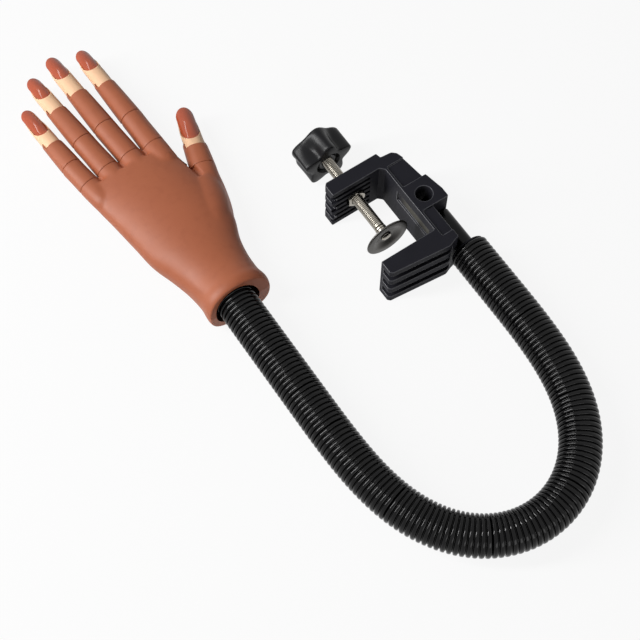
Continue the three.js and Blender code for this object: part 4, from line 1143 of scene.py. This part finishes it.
# %% Nails
def nail_plate(name, node, body_name, here, root, end, half, across=22):
    radius, centre = nail_arc(half)
    length = end - root
    share = (1 - np.cos(np.linspace(0, math.pi, 56))) / 2
    rings = []
    for v in share:
        y = root + length * v
        back = np.clip((y - root) / (ROOT_ROUND * half), 0, 1)
        front = np.clip((end - y) / (END_ROUND * half), 0, 1)
        wide = half * math.sqrt(max(1 - (1 - back) ** 2, 0)) * max(1 - (1 - front) ** 2.4, 0) ** 0.5
        wide = max(wide * (0.96 + 0.04 * math.sin(math.pi * v)), 0.05)
        reach = math.asin(min(wide / radius, 0.99))
        droop = nail_drop(y, root, end)
        thick = (0.95 - 0.25 * v) * min(1, wide / 1.2)
        turn = np.linspace(-reach, reach, across)
        upper = [(radius * math.sin(a), y, centre + radius * math.cos(a) - droop) for a in turn]
        edge = lambda a: ((radius - thick / 2) * math.sin(a) * 1.012, y,
                          centre + (radius - thick / 2) * math.cos(a) - droop)
        lower = [((radius - thick) * math.sin(a * 0.985), y,
                  centre + (radius - thick) * math.cos(a * 0.985) - droop) for a in turn[::-1]]
        rings.append(np.array(upper + [edge(reach)] + lower + [edge(-reach)]))
    return hand_piece(name, node, body_name, rings, here, lacquer, 65)


for name, spec in FINGERS.items():
    middle, boundary, root, end = spec["reach"]
    here = base_frame(spec) @ bent_frame(spec)
    half = spec["half"][3]
    fingertip(f"{name}_fingertip", f"{name}_tip", f"{name}_end", here, boundary - middle, spec["half"][2],
              root - middle, end - middle, half)
    nail_plate(f"{name}_nail_plate", f"{name}_nail", f"{name}_nail_piece", here,
               root - middle, end - middle, half)
start, root, end = THUMB["reach"]
fingertip("thumb_fingertip", "thumb_tip", "thumb", base_frame(THUMB), start,
          THUMB["half"][1], root, end, THUMB["half"][2])
nail_plate("thumb_nail_plate", "thumb_nail", "thumb_nail_piece", base_frame(THUMB),
           root, end, THUMB["half"][2])
print("nails made:", len(FINGERS) + 1)

# %% [markdown]
# ## The palm
#
# The palm is one body with many bulges: the wrist stub, the back of the hand, the ball of the thumb
# and a knuckle behind each finger. Each is lofted by itself. A voxel remesh melts them into one
# surface and a few rounds of smoothing blend the joins. The seams, the sockets and the hose's
# mouth are cut last, so that they stay crisp.

# %% Palm
STUB_END, STUB_SLANT = 35.0, 0.2
PALM = [
    (STUB_END, 2, 22.9, 18.8, 19.5), (STUB_END + 0.5, 2.1, 23.4, 19.3, 19.9),
    (STUB_END + 1.3, 2.2, 23.7, 19.6, 20.1),
    (49, 2, 23.2, 18.6, 20.2), (60, 1.4, 24, 16.4, 18.8), (76, 0.6, 27.4, 15, 18), (92, 0.8, 32.9, 14.6, 18),
    (112, 0.2, 35.1, 14.4, 17.6), (135, -3, 35.1, 13.4, 15.8), (153, -6.4, 34.6, 11.6, 12.5),
    (165, -8.3, 34.1, 9.6, 9.4),
]
WEB = [(84, 14, 0, 13, 12.5), (100, 19, -1, 16.5, 13.4), (116, 23, -2, 17.5, 12.8), (130, 27, -3, 15, 10.8)]
THENAR = [(84, 20, -5, 9, 9), (100, 25.2, -6, 12, 11.5), (118, 30.2, -5.6, 12.4, 11), (137, 36, -4.2, 9.9, 9)]


def loft(name, stations, squareness, sides=72, step_mm=2.0):
    """Rings from rows of (y, x, z, wide, over, under)."""
    turn = (np.arange(sides) + 0.5) * 2 * math.pi / sides
    low, high = stations[0][0], stations[-1][0]
    rings = []
    fine_start = low + np.array([0, 0.2, 0.4, 0.6, 0.9, 1.3, 1.8, 2.5])
    for y in np.concatenate([fine_start, np.linspace(low + 3.5, high, int((high - low) / step_mm) + 2)]):
        x0, z0, wide, over, under = flow(stations, np.array([y]))[0]
        x, z = oval(turn, wide, over, under, squareness)
        rings.append(np.stack([x0 + x, np.full(sides, y), z0 + z], axis=1))
    return rings


def joined(meshes):
    made = bmesh.new()
    for mesh in meshes:
        made.from_mesh(mesh)
    bmesh.ops.recalc_face_normals(made, faces=made.faces)
    whole = bpy.data.meshes.new("joined")
    made.to_mesh(whole)
    made.free()
    return whole


bulges = [skin_mesh("back", loft(
    "back", [(y, WRIST_X + x, 0, w, o, u) for y, x, w, o, u in PALM], (2.15, 2.7)))]
bulges.append(skin_mesh("thenar", loft(
    "thenar", [(y, WRIST_X + x, z, w, h, h) for y, x, z, w, h in THENAR], 2.2)))
bulges.append(skin_mesh("web", loft("web", [(y, WRIST_X + x, z, w, h, h) for y, x, z, w, h in WEB], 2.2)))
joints = [(spec, KNUCKLE_TURN) for spec in FINGERS.values()] + [(THUMB, THUMB_TURN)]
for spec, turn in joints:
    wide = spec["half"][0] * SLIM
    over = wide * FLAT
    stations = [(-22, 0, 0.3, wide * 0.7, over * 0.55, over * 0.6),
                (-14, 0, 0.6, wide * 0.97, over * 0.96, over * 0.9),
                (-6, 0, 0.4, wide, over * 1.03, over), (SEAM, 0, 0, wide, over, over),
                (SEAM + 9, 0, 0, wide * 0.98, over * 0.98, over * 0.98)]
    bulges.append(skin_mesh("knuckle", moved(loft("knuckle", stations, 2.2, 48), base_frame(spec))))

block = as_object("palm_block", joined(bulges))
remesh = block.modifiers.new("melt", "REMESH")
remesh.mode, remesh.voxel_size, remesh.adaptivity = "VOXEL", 0.75 * MM, 0
melted = settled(block)

block = as_object("palm_block", melted)
blend_zone = block.vertex_groups.new(name="blend_zone")
for vertex in melted.vertices:
    y, z = vertex.co.y / MM, vertex.co.z / MM
    blend_zone.add([vertex.index], float(0.03 + 0.97 * step(y, 42, 66)), "REPLACE")
    vertex.co.y += (STUB_SLANT * max(z, 0) + 0.3) * (1 - step(y, STUB_END, STUB_END + 22)) * MM
smooth = block.modifiers.new("blend", "SMOOTH")
smooth.factor, smooth.iterations, smooth.vertex_group = 0.5, 30, "blend_zone"
palm_mesh = settled(block)

CREASE_FROM, CREASE_TO = np.array([29.5, 147.5]), np.array([31.5, 133.0])
CREASE_DEPTH, CREASE_WIDTH = 5.0, 2.6
along = CREASE_TO - CREASE_FROM
for vertex in palm_mesh.vertices:
    place = np.array([vertex.co.x / MM - WRIST_X, vertex.co.y / MM])
    share = (place - CREASE_FROM) @ along / (along @ along)
    apart = np.linalg.norm(place - CREASE_FROM - along * min(max(share, -0.5), 1))
    if vertex.co.z > 0 and apart < CREASE_WIDTH:
        fall = (1 - (apart / CREASE_WIDTH) ** 2) * (1 - 0.85 * min(max(share, 0), 1))
        vertex.co.z -= CREASE_DEPTH * fall * MM


def ball_cutter(radius, matrix, sides=40):
    angles = [math.radians(a) for a in range(0, 181, 9)]
    rings = [circle(max(radius * math.sin(a), 0.01), -radius * math.cos(a), sides) for a in angles]
    return skin_mesh("ball_cutter", moved(rings, matrix))


cutters = []
for spec, turn in joints:
    slant = math.tan(math.radians(turn / 2 + 2))
    room = [(SEAM, 40), (SEAM, 0), (SEAM - 20 * slant, -20), (40, -20), (40, 40)]
    half = spec["half"][0] + 0.3
    wedge = extrusion("room", room, -half, half, axes="yzx")
    wedge.transform(Matrix.Scale(1 / MM, 4))
    wedge.transform(base_frame(spec))
    wedge.transform(Matrix.Scale(MM, 4))
    cutters += [wedge, ball_cutter(SOCKET, base_frame(spec))]
mouth = [(0.01, 28), (17.0, 28), (16.8, 48), (15.4, 49), (15.4, 52.3), (9.3, 52.3), (9.3, 73.3), (0.01, 73.3)]
cutters.append(skin_mesh("mouth", [circle(r, y, 64, WRIST_X) for r, y in mouth]))
cut_palm = cut(palm_mesh, cutters)
# Faces on the bore's wall, round the hose, take the painted shade.
for face in cut_palm.polygons:
    x, y, z = face.center / MM
    outward = Vector((x - WRIST_X, 0, z))
    in_bore = outward.length < 17.1 and y < 50 and abs(face.normal @ outward) > 0.5 * outward.length
    face.material_index = 1 if in_bore else 0
palm = finish_mesh("palm_moulding", cut_palm, skin_brown, 42, bore_painted_shade)
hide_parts("palm")
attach(palm, "hand")
print("palm faces:", len(palm.data.polygons))

# %% [markdown]
# ## Finishes for the pieces that stay as CAD solids
#
# The core of the arm and the wrist's fittings are plain turned parts inside the hose and the hand.
# Their solids are right as they are, so they only get their finishes.

# %% Carried-over solids
kept = {"wrist_collar": clamp_black, "wrist_bush": clamp_black,
        "wrist_post": link_metal, "wrist_clip": bright_steel}
kept.update({f"core_link_{i}": link_metal for i in range(1, LENGTHS)})
for node, finish in kept.items():
    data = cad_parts[node].data
    data.materials.clear()
    data.materials.append(finish.material)
print("carried over:", sorted(kept))

# %% [markdown]
# ## Floor, surroundings and lamps
#
# The object lies on a white sheet in an even, soft light. To the camera the sheet is partly its own
# white, so it stays clean, and partly lit, so it keeps the shadow. A large lamp over the little
# finger's side gives the long soft highlights, and two weaker ones open the dark side.

# %% Floor and surroundings
FLOOR_HALF, FLOOR_Z = 4, -0.0207


def seen_share(tree):
    """Share of rays that see the background: camera, glossy and transmission rays."""
    path = tree.nodes.new("ShaderNodeLightPath")
    total = None
    for name in ("Is Camera Ray", "Is Glossy Ray", "Is Transmission Ray"):
        if total is None:
            total = path.outputs[name]
            continue
        add = tree.nodes.new("ShaderNodeMath")
        add.operation, add.use_clamp = "ADD", True
        tree.links.new(total, add.inputs[0])
        tree.links.new(path.outputs[name], add.inputs[1])
        total = add.outputs[0]
    return total


floor_mesh = bpy.data.meshes.new("floor")
floor_mesh.from_pydata(
    [(-FLOOR_HALF, -FLOOR_HALF, FLOOR_Z), (FLOOR_HALF, -FLOOR_HALF, FLOOR_Z),
     (FLOOR_HALF, FLOOR_HALF, FLOOR_Z), (-FLOOR_HALF, FLOOR_HALF, FLOOR_Z)], [], [(0, 1, 2, 3)])
floor = as_object("floor", floor_mesh)
floor_material = bpy.data.materials.new("white_sheet")
floor_material.use_nodes = True
tree = floor_material.node_tree
tree.nodes.clear()
output = tree.nodes.new("ShaderNodeOutputMaterial")
lit = tree.nodes.new("ShaderNodeBsdfDiffuse")
lit.inputs["Color"].default_value = (0.75, 0.75, 0.75, 1)
own = tree.nodes.new("ShaderNodeEmission")
own.inputs["Color"].default_value = (1, 1, 1, 1)
share = tree.nodes.new("ShaderNodeMath")
share.operation = "MULTIPLY"
share.inputs[1].default_value = 0.9
mix = tree.nodes.new("ShaderNodeMixShader")
tree.links.new(seen_share(tree), share.inputs[0])
tree.links.new(share.outputs[0], mix.inputs[0])
tree.links.new(lit.outputs[0], mix.inputs[1])
tree.links.new(own.outputs[0], mix.inputs[2])
tree.links.new(mix.outputs[0], output.inputs[0])
floor_mesh.materials.append(floor_material)

world = bpy.data.worlds.new("surroundings")
bpy.context.scene.world = world
world.use_nodes = True
tree = world.node_tree
background = tree.nodes["Background"]
strength = tree.nodes.new("ShaderNodeMapRange")
strength.inputs["To Min"].default_value = 0.045
strength.inputs["To Max"].default_value = 1.0
tree.links.new(seen_share(tree), strength.inputs["Value"])
tree.links.new(strength.outputs[0], background.inputs["Strength"])
background.inputs["Color"].default_value = (1, 1, 1, 1)

# %% Lamps
def lamp(name, place, aim, size, power):
    light = bpy.data.lights.new(name, "AREA")
    light.shape, light.size, light.size_y, light.energy = "RECTANGLE", size[0], size[1], power
    made = bpy.data.objects.new(name, light)
    bpy.context.scene.collection.objects.link(made)
    made.location = place
    made.rotation_mode = "QUATERNION"
    made.rotation_quaternion = (Vector(aim) - Vector(place)).to_track_quat("-Z", "Y")
    return made


lamp("key", (-0.98, 0.455, 0.82), (-0.08, 0.05, 0), (0.2, 1.2), 20)
lamp("fill", (-0.3, -1.35, 0.45), (-0.05, 0, 0), (1.0, 0.5), 4)
lamp("window", (-0.5, 1.07, 0.98), (-0.15, 0.25, 0), (0.8, 0.12), 2.2)
bpy.context.scene.view_settings.view_transform = "Standard"
